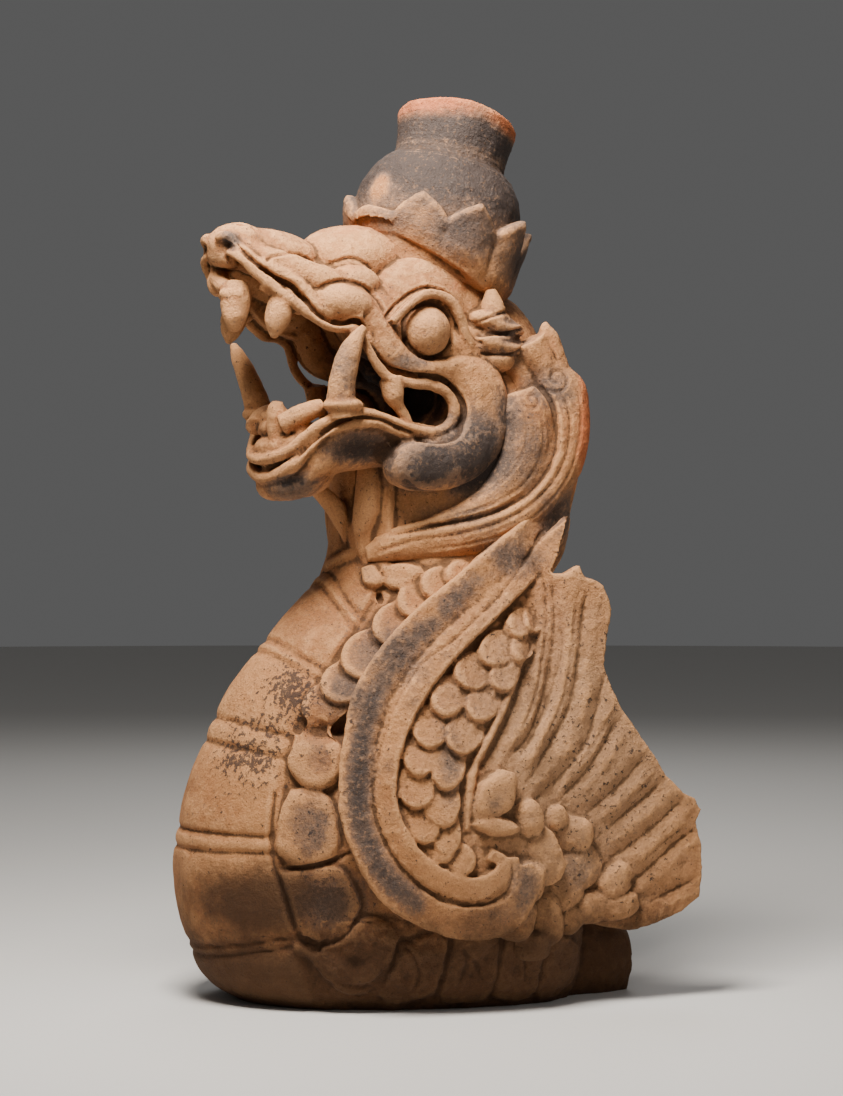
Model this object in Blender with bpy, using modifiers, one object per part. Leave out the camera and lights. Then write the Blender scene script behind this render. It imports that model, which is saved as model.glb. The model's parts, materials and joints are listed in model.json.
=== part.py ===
"""A fired-clay naga: the crowned, winged serpent that stood on a roof or a stair wing.

One piece of terracotta, built up from thrown, rolled and pressed clay: a stack-shaped body with belly
plates, a wing on each flank, a mane swept round the neck, an open-jawed head turned to its left, and a
crown thrown on the wheel like the neck of a jar. It stands upright on its own flat underside, faces -Y,
and has +Z up, with the origin on the floor under the middle of its body.
"""
import math

import bmesh
import bpy
from mathutils import Matrix, Vector
from mathutils.bvhtree import BVHTree

# Driving dimensions, in metres.
HEIGHT = 0.551              # floor to the highest point of the cup's rim
CUP_WALL = 0.0065           # the thrown wall of the cup
CUP_DEPTH = 0.044           # hollow of the cup, rim to floor
WING_PLATE = 0.013          # thickness of a wing fan's clay slab
PLATE_RISE = 0.0022         # belly plates proud of the flank
GROOVE_DEPTH = 0.0030       # lines scored between the belly plates
SCALE_THICKNESS = 0.0080    # a pressed scale of clay
SCALE_LIFT = 0.0033         # its lower edge stands this far off the flank
JAW_WALL = 0.0100           # wall of the upper jaw

# How finely the clay is meshed.
CLAY_GRAIN = 0.0023         # voxel that melts the pressed-on pieces into one body
TRIANGLES = 9600            # left after the body is thinned

# The free form is drawn in 551sts of the height: a place (x, y, z) below is a share of HEIGHT.
UNIT = HEIGHT / 551
HEAD_TURN = math.radians(15)        # the head looks to its own left
HEAD_PIVOT = (0, 5)
CROWN_FOOT = (0, -3, 449)
CROWN_LEAN = math.radians(-14.3)    # the crown leans back with the lifted head

# The body from its foot to the top of the neck: height, half width, reach to the front and to the back.
BODY = (
    (-14, 70, 112, 78), (0, 76, 119, 82), (10, 84, 135, 84), (30, 91, 148, 86), (76, 98, 158, 85),
    (106, 98, 155, 81), (143, 93, 144, 76), (179, 84, 128, 73), (210, 74, 107, 70), (241, 63, 80, 71),
    (266, 56, 62, 75), (300, 51, 60, 84), (326, 50, 56, 89), (342, 47, 34, 89), (358, 42, 10, 84),
    (372, 32, 4, 74),
)
SQUARE_BACK = 2 / 3                 # 1 is a round back, less is squarer
PLATE_LINES = (29, 35, 93, 104, 156, 170, 210, 217, 250, 258)     # heights of the lines at the front
PLATE_HALF_ANGLE = 52               # the belly plates' reach to either side, degrees
PLATE_SAG = 0.19                    # how far a line droops or lifts at its end


def at(x, y, z):
    """A place on the body."""
    return Vector((x, y, z)) * UNIT


def on_head(x, y, z):
    """A place on the head, which is drawn facing -Y and then turned on the neck."""
    px, py = HEAD_PIVOT
    c, s = math.cos(HEAD_TURN), math.sin(HEAD_TURN)
    return at(px + (x - px) * c - (y - py) * s, py + (x - px) * s + (y - py) * c, z)


def curve_through(points, count):
    """Count points along a smooth curve through the given tuples, of three or four numbers each."""
    points = [Vector(p) for p in points]
    padded = [2 * points[0] - points[1], *points, 2 * points[-1] - points[-2]]
    result = []
    for i in range(count):
        place = i * (len(points) - 1) / (count - 1)
        k = min(int(place), len(points) - 2)
        t = place - k
        a, b, c, d = padded[k:k + 4]
        result.append(0.5 * (2 * b + (c - a) * t + (2 * a - 5 * b + 4 * c - d) * t ** 2
                             + (3 * b - a - 3 * c + d) * t ** 3))
    return result


class Clay:
    """The lumps, skins and rolls of wet clay that are later melted into one body."""

    def __init__(self):
        self.mesh = bmesh.new()
        self.rolls = bpy.data.curves.new("rolls", "CURVE")
        self.rolls.dimensions = "3D"
        self.rolls.bevel_depth = UNIT
        self.rolls.bevel_resolution = 4
        self.rolls.use_fill_caps = True

    def loft(self, rings, closed=False):
        """A skin over rings of equally many points, capped at both ends or joined end to end."""
        rows = [[self.mesh.verts.new(p) for p in ring] for ring in rings]
        pairs = list(zip(rows, rows[1:] + rows[:1])) if closed else list(zip(rows, rows[1:]))
        for low, high in pairs:
            for i in range(len(low)):
                j = (i + 1) % len(low)
                self.mesh.faces.new((low[i], low[j], high[j], high[i]))
        if not closed:
            self.mesh.faces.new(list(reversed(rows[0])))
            self.mesh.faces.new(rows[-1])

    def ball(self, centre, radii, turn=None):
        """A lump: an ellipsoid about a place, with radii in shares of the height."""
        size = Matrix.Diagonal((*(r * UNIT for r in radii), 1))
        matrix = Matrix.Translation(centre) @ (turn or Matrix()) @ size
        bmesh.ops.create_icosphere(self.mesh, subdivisions=3, radius=1, matrix=matrix)

    def roll(self, points, place=at, spacing=6):
        """A rolled strip of clay through points of x, y, z and radius."""
        path = curve_through(points, spacing * (len(points) - 1) + 1)
        spline = self.rolls.splines.new("POLY")
        spline.points.add(len(path) - 1)
        for point, (x, y, z, radius) in zip(spline.points, path):
            point.co = (*place(x, y, z), 1)
            point.radius = max(radius, 0.4)

    def disc(self, centre, normal, along, width, length, thickness):
        """A pressed pat of clay with a bevelled edge, lying square to a normal."""
        across = along.cross(normal).normalized()
        turn = Matrix((across, normal.cross(across), normal)).transposed().to_4x4()
        size = Matrix.Diagonal((width / 2, length / 2, thickness, 1))
        bmesh.ops.create_cone(self.mesh, cap_ends=True, segments=24, radius1=1, radius2=0.8, depth=1,
                              matrix=Matrix.Translation(centre) @ turn @ size)

    def add(self, source, shift=None):
        """The evaluated mesh of a helper object, its points moved by shift; the helper is removed."""
        bpy.context.scene.collection.objects.link(source)
        bpy.context.view_layer.update()
        graph = bpy.context.evaluated_depsgraph_get()
        mesh = bpy.data.meshes.new_from_object(source.evaluated_get(graph))
        for vertex in mesh.vertices if shift else ():
            vertex.co = shift(vertex.co)
        mesh.transform(source.matrix_world)
        self.mesh.from_mesh(mesh)
        bpy.data.objects.remove(source)
        bpy.data.meshes.remove(mesh)

    def skin(self):
        """What is there so far, to lay further clay on."""
        bmesh.ops.recalc_face_normals(self.mesh, faces=self.mesh.faces)
        return BVHTree.FromBMesh(self.mesh)

    def object(self, name):
        """All of it as one object."""
        self.add(bpy.data.objects.new("rolls", self.rolls))
        bpy.data.curves.remove(self.rolls)
        mesh = bpy.data.meshes.new(name)
        self.mesh.to_mesh(mesh)
        self.mesh.free()
        return bpy.data.objects.new(name, mesh)


def body(clay):
    """The body and neck: rings that are round in front and squarer behind, scored with plates."""
    stations = curve_through(BODY, 1 + 14 * (len(BODY) - 1))
    rings = []
    for z, half, front, back in stations:
        ring = []
        for i in range(96):
            angle = math.radians(i * 3.75 - 180)
            side, ahead = math.sin(angle), math.cos(angle)
            rise = plate_relief(abs(math.degrees(angle)), z)
            if ahead >= 0:
                ring.append(at((half + rise) * side, -(front + rise) * ahead, z))
            else:
                squared = math.copysign(abs(side) ** SQUARE_BACK, side)
                ring.append(at(half * squared, back * (-ahead) ** SQUARE_BACK, z))
        rings.append(ring)
    clay.loft(rings)


def plate_relief(angle, z):
    """How far the clay stands proud at a place on the belly, in shares of the height."""
    edge = PLATE_HALF_ANGLE - angle
    inside = 1 / (1 + math.exp(-edge / 1.2))
    if inside < 0.01 or z < 0:
        return 0
    droop = PLATE_SAG * (1 - math.cos(math.radians(angle))) / (1 - math.cos(math.radians(PLATE_HALF_ANGLE)))
    front_z = (z - 100 * droop) / (1 - droop)
    score = max(math.exp(-((front_z - line) / 2.4) ** 2) for line in PLATE_LINES)
    border = math.exp(-(edge / 2.0) ** 2)
    return (inside * (PLATE_RISE - GROOVE_DEPTH * score) - 0.5 * GROOVE_DEPTH * border) / UNIT


# The root of the tail along the floor: y, half width and top.
TAIL = ((30, 56, 62), (70, 55, 60), (98, 51, 54), (114, 46, 47), (121, 40, 38))
TAIL_MIDDLE = 14                    # height of its widest line


def tail(clay):
    """The broken root of the tail, whose raw end leans forward over the floor."""
    rings = []
    for y, half, top in TAIL:
        ring = []
        for i in range(28):
            angle = 2 * math.pi * i / 28
            across, up = math.cos(angle), math.sin(angle)
            x = half * math.copysign(abs(across) ** 0.7, across)
            rise = math.copysign(abs(up) ** 0.8, up)
            z = TAIL_MIDDLE + rise * (top - TAIL_MIDDLE if up > 0 else 2 * TAIL_MIDDLE)
            ring.append(at(x, y - 0.12 * max(top - z, 0), z))
        rings.append(ring)
    clay.loft(rings)


def flank_laid(skin, side):
    """A function that gives the place and normal on a flank at y and z, as a person at its side sees it."""
    def place(y, z):
        hit, normal, _index, _distance = skin.ray_cast(at(300, y, z), Vector((-1, 0, 0)))
        if hit is None:
            hit, normal, _index, _distance = skin.find_nearest(at(60, y, z))
        return Vector((side * hit.x, hit.y, hit.z)), Vector((side * normal.x, normal.y, normal.z))
    return place


def laid_roll(clay, place, points):
    """A roll laid along a flank: points of y, z, radius and how far its middle stands off the clay."""
    path = []
    for y, z, radius, lift in curve_through(points, 4 * (len(points) - 1) + 1):
        hit, normal = place(y, z)
        path.append((*((hit + normal * lift * UNIT) / UNIT), radius))
    clay.roll(path, spacing=2)


def pressed_scales(clay, place, spots, stretch=1.25):
    """Overlapping scales along a row of y, z and width, each sunk at its top and free at its lower edge."""
    hits = [place(y, z) for y, z, _width in spots]
    for i, ((hit, normal), (_y, _z, width)) in enumerate(zip(hits, spots)):
        k = min(i, len(hits) - 2)
        ahead = hits[k + 1][0] - hits[k][0]
        along = (ahead - normal * ahead.dot(normal)).normalized()
        length = stretch * width * UNIT
        lean = Matrix.Rotation(-math.asin(2 * SCALE_LIFT / length), 3, normal.cross(along))
        clay.disc(hit + along * 0.1 * width * UNIT, lean @ normal, lean @ along,
                  width * UNIT, length, SCALE_THICKNESS)


# Rows of scales down the flank: y, z and width.
SIDE_SCALES = (
    (-9, 260, 18), (-23, 255, 20), (-35, 246, 24), (-46, 234, 27), (-62, 217, 32), (-74, 203, 28),
    (-85, 188, 26), (-92, 172, 28), (-97, 150, 34), (-101, 115, 42), (-92, 67, 50),
)
LOW_SCALES = ((-66, 33, 52), (-27, 26, 50), (8, 22, 46), (42, 27, 44))
# The wing's arm: y, z, radius and how far the roll's middle stands off the flank.
OUTER_ARM = (
    (58, 285, 6, 0), (36, 272, 7.5, 2), (13, 259, 8, 3), (-24, 226, 8.3, 3.5), (-57, 193, 8.5, 4),
    (-63, 170, 8.5, 4), (-76, 138, 8.5, 4), (-75, 111, 8.5, 4), (-56, 78, 9, 4), (-36, 64, 9, 4),
    (-11, 57, 9, 4), (11, 61, 8.5, 4), (19, 72, 7.5, 3.5), (17, 87, 6, 3),
)
INNER_ARM = (
    (62, 270, 5, 0), (44, 263, 6, 2), (16, 233, 7, 2), (-16, 203, 7, 2), (-34, 179, 7, 2),
    (-52, 140, 7, 2),
    (-49, 114, 7, 2), (-35, 91, 6.5, 2), (-17, 77, 6, 2), (-4, 73, 5.5, 2), (3, 80, 4.5, 2), (0, 92, 4, 1.5),
    (-10, 96, 3.5, 1),
)
# The coverts and the cluster of scales at the elbow: y, z and width.
FIRST_COVERTS = (
    (22, 232, 12), (6, 217, 13), (-10, 205, 14), (-23, 190, 15), (-32, 168, 16), (-40, 146, 16),
    (-43, 124, 16), (-38, 106, 15), (-29, 93, 13),
)
SECOND_COVERTS = (
    (33, 240, 11), (23, 222, 12), (11, 204, 14), (-2, 182, 15), (-12, 158, 16), (-21, 132, 16),
    (-18, 110, 14),
)
SHAFT = ((50, 252, 2.4, 1), (26, 217, 3.0, 1.5), (8, 187, 3.2, 1.5), (0, 153, 3.2, 1.5), (-5, 128, 3, 1.5))
# One feather of the fan: y and z of its root, middle and broken tip, and half its width at root and tip.
FEATHERS = (
    ((14, 158), (38, 205), (52, 254), 5, 9), ((32, 148), (61, 208), (67, 258), 5, 10),
    ((38, 132), (73, 190), (83, 249), 5, 10.5), ((46, 118), (80, 165), (91, 206), 6, 11),
    ((54, 110), (92, 147), (109, 166), 6, 9), ((58, 100), (104, 128), (124, 146), 6, 10),
    ((60, 92), (112, 110), (141, 128), 6, 11), ((60, 78), (117, 93), (149, 108), 7, 12),
    ((58, 66), (117, 75), (150, 84), 7, 12), ((56, 57), (105, 56), (141, 63), 7, 9),
)
KNOB = (14, 129)
KNOB_LEAF = (11, 108)
FAN_MIDDLE = 76                     # the slab's middle, from the animal's middle
CLUSTER = (
    (35, 112, 20), (61, 101, 20), (44, 87, 19), (66, 84, 20), (34, 72, 21), (61, 69, 20), (76, 60, 19),
    (27, 53, 22), (46, 50, 21), (24, 26, 24),
)


def wing(clay, skin, side):
    """One wing: a double rolled arm that curls at the elbow, two rows of coverts, a shaft and the fan."""
    place = flank_laid(skin, side)
    for roll in (OUTER_ARM, INNER_ARM, SHAFT):
        laid_roll(clay, place, roll)
    for row in (FIRST_COVERTS, SECOND_COVERTS):
        pressed_scales(clay, place, row)
    for plume in FEATHERS:
        feather(clay, side, *plume)
    detailed = side > 0             # the flank that was meant to be seen
    if detailed:
        clay.ball(place(*KNOB)[0] + at(2, 0, 0), (11, 12, 16))
        clay.ball(place(*KNOB_LEAF)[0], (7, 14, 5))
    for y, z, width in CLUSTER if detailed else CLUSTER[::2]:
        clay.ball(place(y, z)[0], (9, width * 0.52, width * 0.56))


def feather(clay, side, root, middle, tip, narrow, wide):
    """One flute of the fan, a ridge of clay that widens to its broken end."""
    path = curve_through(((*root, narrow), (*middle, (narrow + wide) / 2), (*tip, wide)), 10)
    thick = WING_PLATE / UNIT / 2
    rings = []
    for i, (y, z, half) in enumerate(path):
        before, after = path[max(i - 1, 0)], path[min(i + 1, len(path) - 1)]
        run = Vector((after[0] - before[0], after[1] - before[1])).normalized()
        middle_x = FAN_MIDDLE - 0.05 * (y - 60)
        ring = []
        for k in range(16):
            across, out = math.cos(2 * math.pi * k / 16), math.sin(2 * math.pi * k / 16)
            reach = half * 1.15 * across
            rise = thick * math.copysign(abs(out) ** 0.7, out)
            ring.append(at(side * (middle_x + rise), y - run.y * reach, z + run.x * reach))
        rings.append(ring)
    clay.loft(rings)


MANE = (
    # Outer strand, from the curl behind the ear round to its tip on the throat.
    ((46, 57, 384, 4), (46, 67, 374, 10), (46, 72, 352, 12.5), (46, 68, 325, 12.5), (47, 53, 301, 12),
     (49, 26, 285, 11), (50, -8, 274, 8.5), (42, -38, 269, 5), (36, -52, 266, 2)),
    # Inner strand.
    ((49, 47, 367, 3), (50, 50, 350, 9), (50, 42, 325, 10.5), (50, 20, 303, 9.5), (50, -10, 288, 7.5),
     (44, -34, 280, 5), (38, -48, 275, 2)),
    # The roots of both, gathered at the nape and run out towards the wing.
    ((30, 64, 398, 9), (34, 73, 380, 11), (34, 76, 350, 12), (34, 74, 320, 12), (35, 71, 290, 11),
     (38, 68, 268, 6), (40, 66, 256, 2)),
)


def mane(clay, side):
    """Two swept locks on each side of the neck, with a loose point above them."""
    for strand in MANE:
        clay.roll([(side * x, y, z, radius) for x, y, z, radius in strand])
    clay.roll([(side * 44, 52, 378, 7), (side * 45, 57, 395, 6), (side * 45, 59, 404, 3.5),
               (side * 45, 59, 411, 1)])


def throat(clay):
    """Folds of the throat under the jaw, and the strut that ties the jaw to it."""
    for x in (-26, -8, 12, 30):
        clay.roll([(x, -50, 262, 7), (x, -53, 290, 8), (x, -52, 322, 7)])
    clay.roll([(12, -102, 318, 4.5), (14, -84, 308, 4.5), (16, -66, 294, 5), (16, -60, 282, 4)])
    clay.roll([(-36, -44, 272, 4), (0, -62, 268, 5), (36, -46, 274, 4)])


def arch(half, top, lip, wall, count=14):
    """The cross-section of the upper jaw: an arch open below, as places of x and z."""
    outer, inner = [], []
    for i in range(count + 1):
        angle = math.pi * i / count
        across, up = math.cos(angle), math.sin(angle)
        bow = math.copysign(abs(across) ** 0.8, across)
        outer.append((half * bow, lip + (top - lip) * up ** 0.9))
        inner.append(((half - wall) * bow, lip + (top - lip - wall * 1.3) * up ** 0.9))
    return outer + list(reversed(inner))


UPPER_JAW = (
    (-20, 45, 436, 392), (-50, 46, 440, 398), (-80, 44, 444, 402), (-100, 39, 449, 407),
    (-117, 34, 455, 418), (-132, 28, 460, 431), (-141, 23, 463, 441), (-147, 16, 461, 449),
    (-151, 10, 456, 452),
)
LOWER_JAW = (
    (10, 42, 340, 318), (-20, 44, 347, 319), (-60, 46, 352, 320), (-88, 44, 352, 314), (-100, 38, 347, 306),
    (-108, 30, 338, 301), (-113, 19, 329, 304),
)


def jaws(clay):
    """The open jaws: an arched upper one with a hooked front, and a shallow trough below."""
    wall = JAW_WALL / UNIT
    clay.loft([[on_head(x, y, z) for x, z in arch(half, top, lip, wall)]
               for y, half, top, lip in curve_through(UPPER_JAW, 36)])
    rings = []
    for y, half, lip, keel in curve_through(LOWER_JAW, 30):
        ring = []
        for i in range(20):
            angle = math.pi * i / 19
            bow = math.copysign(abs(math.cos(angle)) ** 0.55, math.cos(angle))
            ring.append(on_head(half * bow, y, lip - (lip - keel) * math.sin(angle) ** 0.8))
        for i in range(10):
            angle = math.pi * (i + 1) / 11
            ring.append(on_head(-(half - 7) * math.cos(angle), y, lip - 9 * math.sin(angle) ** 0.7))
        rings.append(ring)
    clay.loft(rings)
    # The hooked front of the upper jaw, its tip, and the folds along the snout.
    clay.roll([(-17, -140, 446, 6), (-13, -145, 434, 6.5), (0, -148, 425, 6), (12, -144, 422, 6)], on_head)
    clay.roll([(-15, -143, 452, 7), (0, -149, 442, 8), (9, -146, 430, 7)], on_head)
    clay.ball(on_head(2, -137, 454), (18, 15, 12))
    clay.ball(on_head(-14, -146, 431), (6, 6, 8))
    for side in (-1, 1):
        clay.ball(on_head(side * 28, -117, 433), (10, 22, 9), snout_turn(side, 20))
        clay.ball(on_head(side * 37, -80, 421), (12, 17, 12))
        clay.ball(on_head(side * 20, -66, 436), (15, 15, 14))
        # Upper lip, which turns down round the corner of the mouth and becomes the lower lip.
        clay.roll([(side * x, y, z, radius) for x, y, z, radius in LIP], on_head)
        clay.roll([(side * x, y, z, radius) for x, y, z, radius in INNER_LIP], on_head)
        clay.roll([(side * x, y, z, radius) for x, y, z, radius in CHEEK_FOLD], on_head)
    # Chin lobes.
    for x, y in ((-18, -101), (0, -106), (19, -106)):
        clay.ball(on_head(x, y, 314), (11, 12, 12))
    clay.roll([(-24, -104, 332, 5), (-10, -112, 328, 6), (10, -114, 328, 6), (24, -108, 332, 5)], on_head)


def snout_turn(side, pitch):
    """The turn of a fold that follows the narrowing snout."""
    return (Matrix.Rotation(HEAD_TURN, 4, "Z") @ Matrix.Rotation(math.radians(-side * 14), 4, "Z")
            @ Matrix.Rotation(math.radians(-pitch), 4, "X"))


LIP = (
    (19, -147, 449, 3), (26, -140, 439, 3.6), (31, -126, 424, 3.6), (36, -108, 410, 3.6),
    (41, -90, 403, 3.4), (45, -73, 400, 3), (48, -67, 382, 3), (48, -53, 370, 3), (48, -32, 369, 3),
    (48, -17, 364, 3),
    (47, -14, 355, 3), (47, -22, 344, 3), (47, -43, 344, 3), (47, -65, 352, 3), (46, -88, 353, 3.2),
    (41, -104, 346, 3.4), (31, -115, 337, 3.4), (20, -120, 327, 3),
)
INNER_LIP = (
    (25, -134, 429, 3), (30, -120, 416, 3), (35, -103, 403, 3), (40, -84, 397, 2.8), (44, -71, 392, 2.6),
    (46, -61, 374, 2.6), (46, -47, 366, 2.6), (46, -33, 364, 2.4),
)
CHEEK_FOLD = (
    (46, -76, 417, 11), (47, -64, 409, 10), (49, -56, 393, 9.5), (49, -42, 382, 10), (46, -22, 377, 11),
    (43, -3, 372, 13), (41, 13, 355, 15), (41, 12, 335, 16), (41, -2, 322, 17), (42, -24, 319, 16),
    (44, -46, 324, 13),
)


def skull(clay):
    """The rounded masses of the head: crown of the skull, occiput, brows, forehead and cheeks."""
    clay.ball(on_head(0, -8, 416), (46, 58, 34))
    clay.ball(on_head(0, 38, 380), (46, 38, 54))
    clay.ball(on_head(0, 30, 360), (46, 34, 50))
    clay.ball(on_head(0, -48, 438), (31, 32, 33))
    for side in (-1, 1):
        clay.ball(on_head(side * 31, -22, 423), (24, 33, 29))
        clay.ball(on_head(side * 26, 4, 393), (26, 44, 24))
        clay.ball(on_head(side * 34, 30, 352), (18, 22, 38))


EYE = (43, -30, 403)
EYE_RADIUS = 15
LID_RADIUS = 19.5
LID_THICKNESS = 6


def eyes(clay, side):
    """A round eye under a heavy lid."""
    x, y, z = EYE
    clay.ball(on_head(side * x, y, z), (EYE_RADIUS, EYE_RADIUS, EYE_RADIUS))
    lid = []
    for degrees in range(-12, 175, 23):
        angle = math.radians(degrees)
        lid.append((side * (x + 7 + 2 * math.sin(angle)), y - LID_RADIUS * math.cos(angle),
                    z + LID_RADIUS * math.sin(angle), LID_THICKNESS / 2))
    clay.roll(lid, on_head, spacing=3)


def ear(clay, side):
    """A small horn over two stacked leaves, where the ear would be."""
    clay.roll([(side * 46, 30, 398, 9), (side * 49, 32, 412, 7), (side * 49, 33, 423, 4),
               (side * 49, 33, 429, 1.5)], on_head)
    clay.ball(on_head(side * 47, 32, 403), (10, 14, 5))
    clay.ball(on_head(side * 47, 34, 391), (9, 13, 9))


# The tusks rise from the lower jaw and splay; the right one leans further out.
TUSKS = (
    ((44, -92, 348, 9), (45, -93, 362, 8.8), (47, -91, 378, 8.2), (51, -86, 392, 6.5), (55, -83, 402, 3.5)),
    ((-43, -96, 348, 9), (-45, -98, 362, 8.5), (-49, -102, 377, 7.5), (-55, -105, 390, 5.5),
     (-60, -107, 399, 3)),
)


def teeth(clay):
    """Fangs, tusks and the gum rings that they stand in."""
    clay.roll([(11, -140, 420, 8), (11, -141, 412, 8), (11, -143, 400, 6.5), (11, -145, 390, 2)], on_head)
    clay.roll([(4, -143, 416, 4), (11, -146, 414, 4.5), (19, -139, 415, 4)], on_head)
    for tusk in TUSKS:
        clay.roll(tusk, on_head)
        x, y, z, radius = tusk[0]
        clay.ball(on_head(x, y, z + 7), (radius + 3, radius + 4, 5))
    for side in (-1, 1):
        clay.roll([(side * 28, -121, 424, 7), (side * 28, -122, 414, 8), (side * 28, -123, 403, 6),
                   (side * 28, -125, 395, 1.5)], on_head)
        clay.roll([(side * 25, -134, 430, 4), (side * 28, -119, 420, 5), (side * 32, -98, 410, 4)], on_head)
        clay.roll([(side * 45, -54, 380, 7), (side * 45, -52, 368, 6), (side * 45, -48, 358, 4),
                   (side * 45, -45, 348, 3)], on_head)
        clay.roll([(side * 34, -97, 356, 4.5), (side * 26, -108, 350, 5), (side * 12, -113, 342, 5)], on_head)
    for x in (-13, 12):             # the stumps in front
        clay.roll([(x, -106, 334, 6), (x, -107, 344, 6), (x, -107, 354, 4), (x, -107, 361, 1.5)], on_head)
    clay.roll([(-24, -103, 338, 5), (0, -112, 337, 5), (24, -105, 338, 5)], on_head)


# The crown's outline, height along its axis and radius, up to the rim.
CROWN_PROFILE = (
    (-14, 42), (2, 48), (16, 51), (30, 51.5), (40, 50.5), (48, 48), (54, 44.5), (59, 40.5),
    (61.8, 36.5),
    (63, 34.8), (67, 34.4), (72, 34.8), (80, 35.8), (86, 36.8), (90.4, 37.6),
)
CREASE = 63                         # where the cup leaves the bulb
RIM_SLANT = 0.19                    # the rim is higher towards one side
RIM_HIGH_SIDE = math.radians(58)    # that side, from the front round to the left
PETALS = 10
FIRST_PETAL = 13                    # degrees from the front, round to the left; it is broken
PETAL_TIP, PETAL_DIP = 31, 17


def crown_frame():
    """Where the crown's axis stands on the turned head."""
    return (Matrix.Translation(on_head(*CROWN_FOOT)) @ Matrix.Rotation(HEAD_TURN, 4, "Z")
            @ Matrix.Rotation(CROWN_LEAN, 4, "X"))


def turned(name, profile):
    """A solid of revolution from heights and radii in shares of the height."""
    mesh = bpy.data.meshes.new(name)
    outline = [(0, profile[0][0]), *((r, s) for s, r in profile), (0, profile[-1][0])]
    outline.reverse()
    verts = [(r * UNIT, 0, s * UNIT) for r, s in outline]
    mesh.from_pydata(verts, [(i, i + 1) for i in range(len(verts) - 1)], [])
    turned_object = bpy.data.objects.new(name, mesh)
    screw = turned_object.modifiers.new("turn", "SCREW")
    screw.steps = screw.render_steps = 48
    screw.use_merge_vertices = True
    screw.merge_threshold = 0.00001
    return turned_object


def rim_slant(place):
    """The thrown cup, pulled up more on one side than on the other."""
    over = place.z - CREASE * UNIT
    if over <= 0:
        return place
    share = over / (CROWN_PROFILE[-1][0] - CREASE) / UNIT
    toward = place.x * math.sin(RIM_HIGH_SIDE) - place.y * math.cos(RIM_HIGH_SIDE)
    return place + Vector((0, 0, toward * RIM_SLANT * share))


def crown(clay):
    """The thrown crown, a bulb and a cup like a jar's neck, in a ring of pressed petals."""
    bulb = turned("bulb", CROWN_PROFILE)
    bulb.matrix_world = crown_frame()
    clay.add(bulb, rim_slant)
    rings = []
    step = 3
    for turn in range(0, 360, step):
        petal, share = divmod(turn * PETALS / 360, 1)
        peak = 1 - abs(2 * share - 1)
        top = PETAL_DIP + (PETAL_TIP - PETAL_DIP) * peak ** 1.3
        if petal == 0:
            top = min(top, PETAL_DIP + 4)
        around = (FIRST_PETAL - 180 / PETALS + turn + 180) % 360 - 180
        behind = min(max((abs(around) - 30) / 80, 0), 1)
        foot = -3 - 21 * behind
        flare = (3 + 3 * behind) * peak
        angle = math.radians(around)
        ring = []
        for radius, height in ((42, foot), (50, foot), (54.5, foot + 9), (55.5 + flare, top - 7),
                               (54.5 + flare, top), (50 + flare * 0.5, top), (44, top - 8)):
            place = Vector((radius * math.sin(angle), -radius * math.cos(angle), height)) * UNIT
            ring.append(crown_frame() @ place)
        rings.append(ring)
    clay.loft(rings, closed=True)


def finish(melted):
    """Melts the clay into one body, thins it, and cuts its flat foot and the hollow of the cup."""
    remesh = melted.modifiers.new("melt", "REMESH")
    remesh.mode = "VOXEL"
    remesh.voxel_size = CLAY_GRAIN
    bpy.context.view_layer.update()
    graph = bpy.context.evaluated_depsgraph_get()
    quads = len(melted.evaluated_get(graph).data.polygons)
    soften = melted.modifiers.new("soften", "SMOOTH")
    soften.factor = 0.4
    soften.iterations = 1
    thin = melted.modifiers.new("thin", "DECIMATE")
    thin.ratio = TRIANGLES / (2 * quads)
    for cutter in (floor_cutter(), cup_cutter()):
        cut = melted.modifiers.new(cutter.name, "BOOLEAN")
        cut.operation = "DIFFERENCE"
        cut.object = cutter
    melted.data.materials.append(terracotta())


def floor_cutter():
    """All that is below the floor."""
    mesh = bpy.data.meshes.new("below_the_floor")
    box = bmesh.new()
    size = HEIGHT
    bmesh.ops.create_cube(box, size=size, matrix=Matrix.Translation((0, 0, -size / 2)))
    box.to_mesh(mesh)
    box.free()
    return cutter_object(mesh)


def cup_cutter():
    """The hollow of the cup: a cone that follows its thrown wall, out through the rim."""
    rim_height, rim_radius = CROWN_PROFILE[-1]
    waist_height, waist_radius = min(CROWN_PROFILE[5:], key=lambda station: station[1])
    flare = (rim_radius - waist_radius) / (rim_height - waist_height)
    above = 12 * UNIT               # the cutter stands this far over the rim
    inside = rim_radius * UNIT - CUP_WALL
    middle = rim_height * UNIT + (above - CUP_DEPTH) / 2
    mesh = bpy.data.meshes.new("cup_hollow")
    hollow = bmesh.new()
    bmesh.ops.create_cone(hollow, cap_ends=True, segments=48, radius1=inside - flare * CUP_DEPTH,
                          radius2=inside + flare * above, depth=CUP_DEPTH + above,
                          matrix=crown_frame() @ Matrix.Translation((0, 0, middle)))
    hollow.to_mesh(mesh)
    hollow.free()
    return cutter_object(mesh)


def cutter_object(mesh):
    """A cutter, kept out of sight in its own collection."""
    cutter = bpy.data.objects.new(mesh.name, mesh)
    cutter.hide_render = True
    cutter.display_type = "WIRE"
    bpy.data.collections["cutters"].objects.link(cutter)
    return cutter


def terracotta():
    """Low-fired clay, buff to orange brown."""
    material = bpy.data.materials.new("terracotta")
    material.use_nodes = True
    shader = material.node_tree.nodes["Principled BSDF"]
    shader.inputs["Base Color"].default_value = (0.42, 0.24, 0.135, 1)
    shader.inputs["Roughness"].default_value = 0.82
    shader.inputs["Metallic"].default_value = 0
    return material


def collection(name):
    """A collection in the scene."""
    made = bpy.data.collections.new(name)
    bpy.context.scene.collection.children.link(made)
    return made


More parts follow.
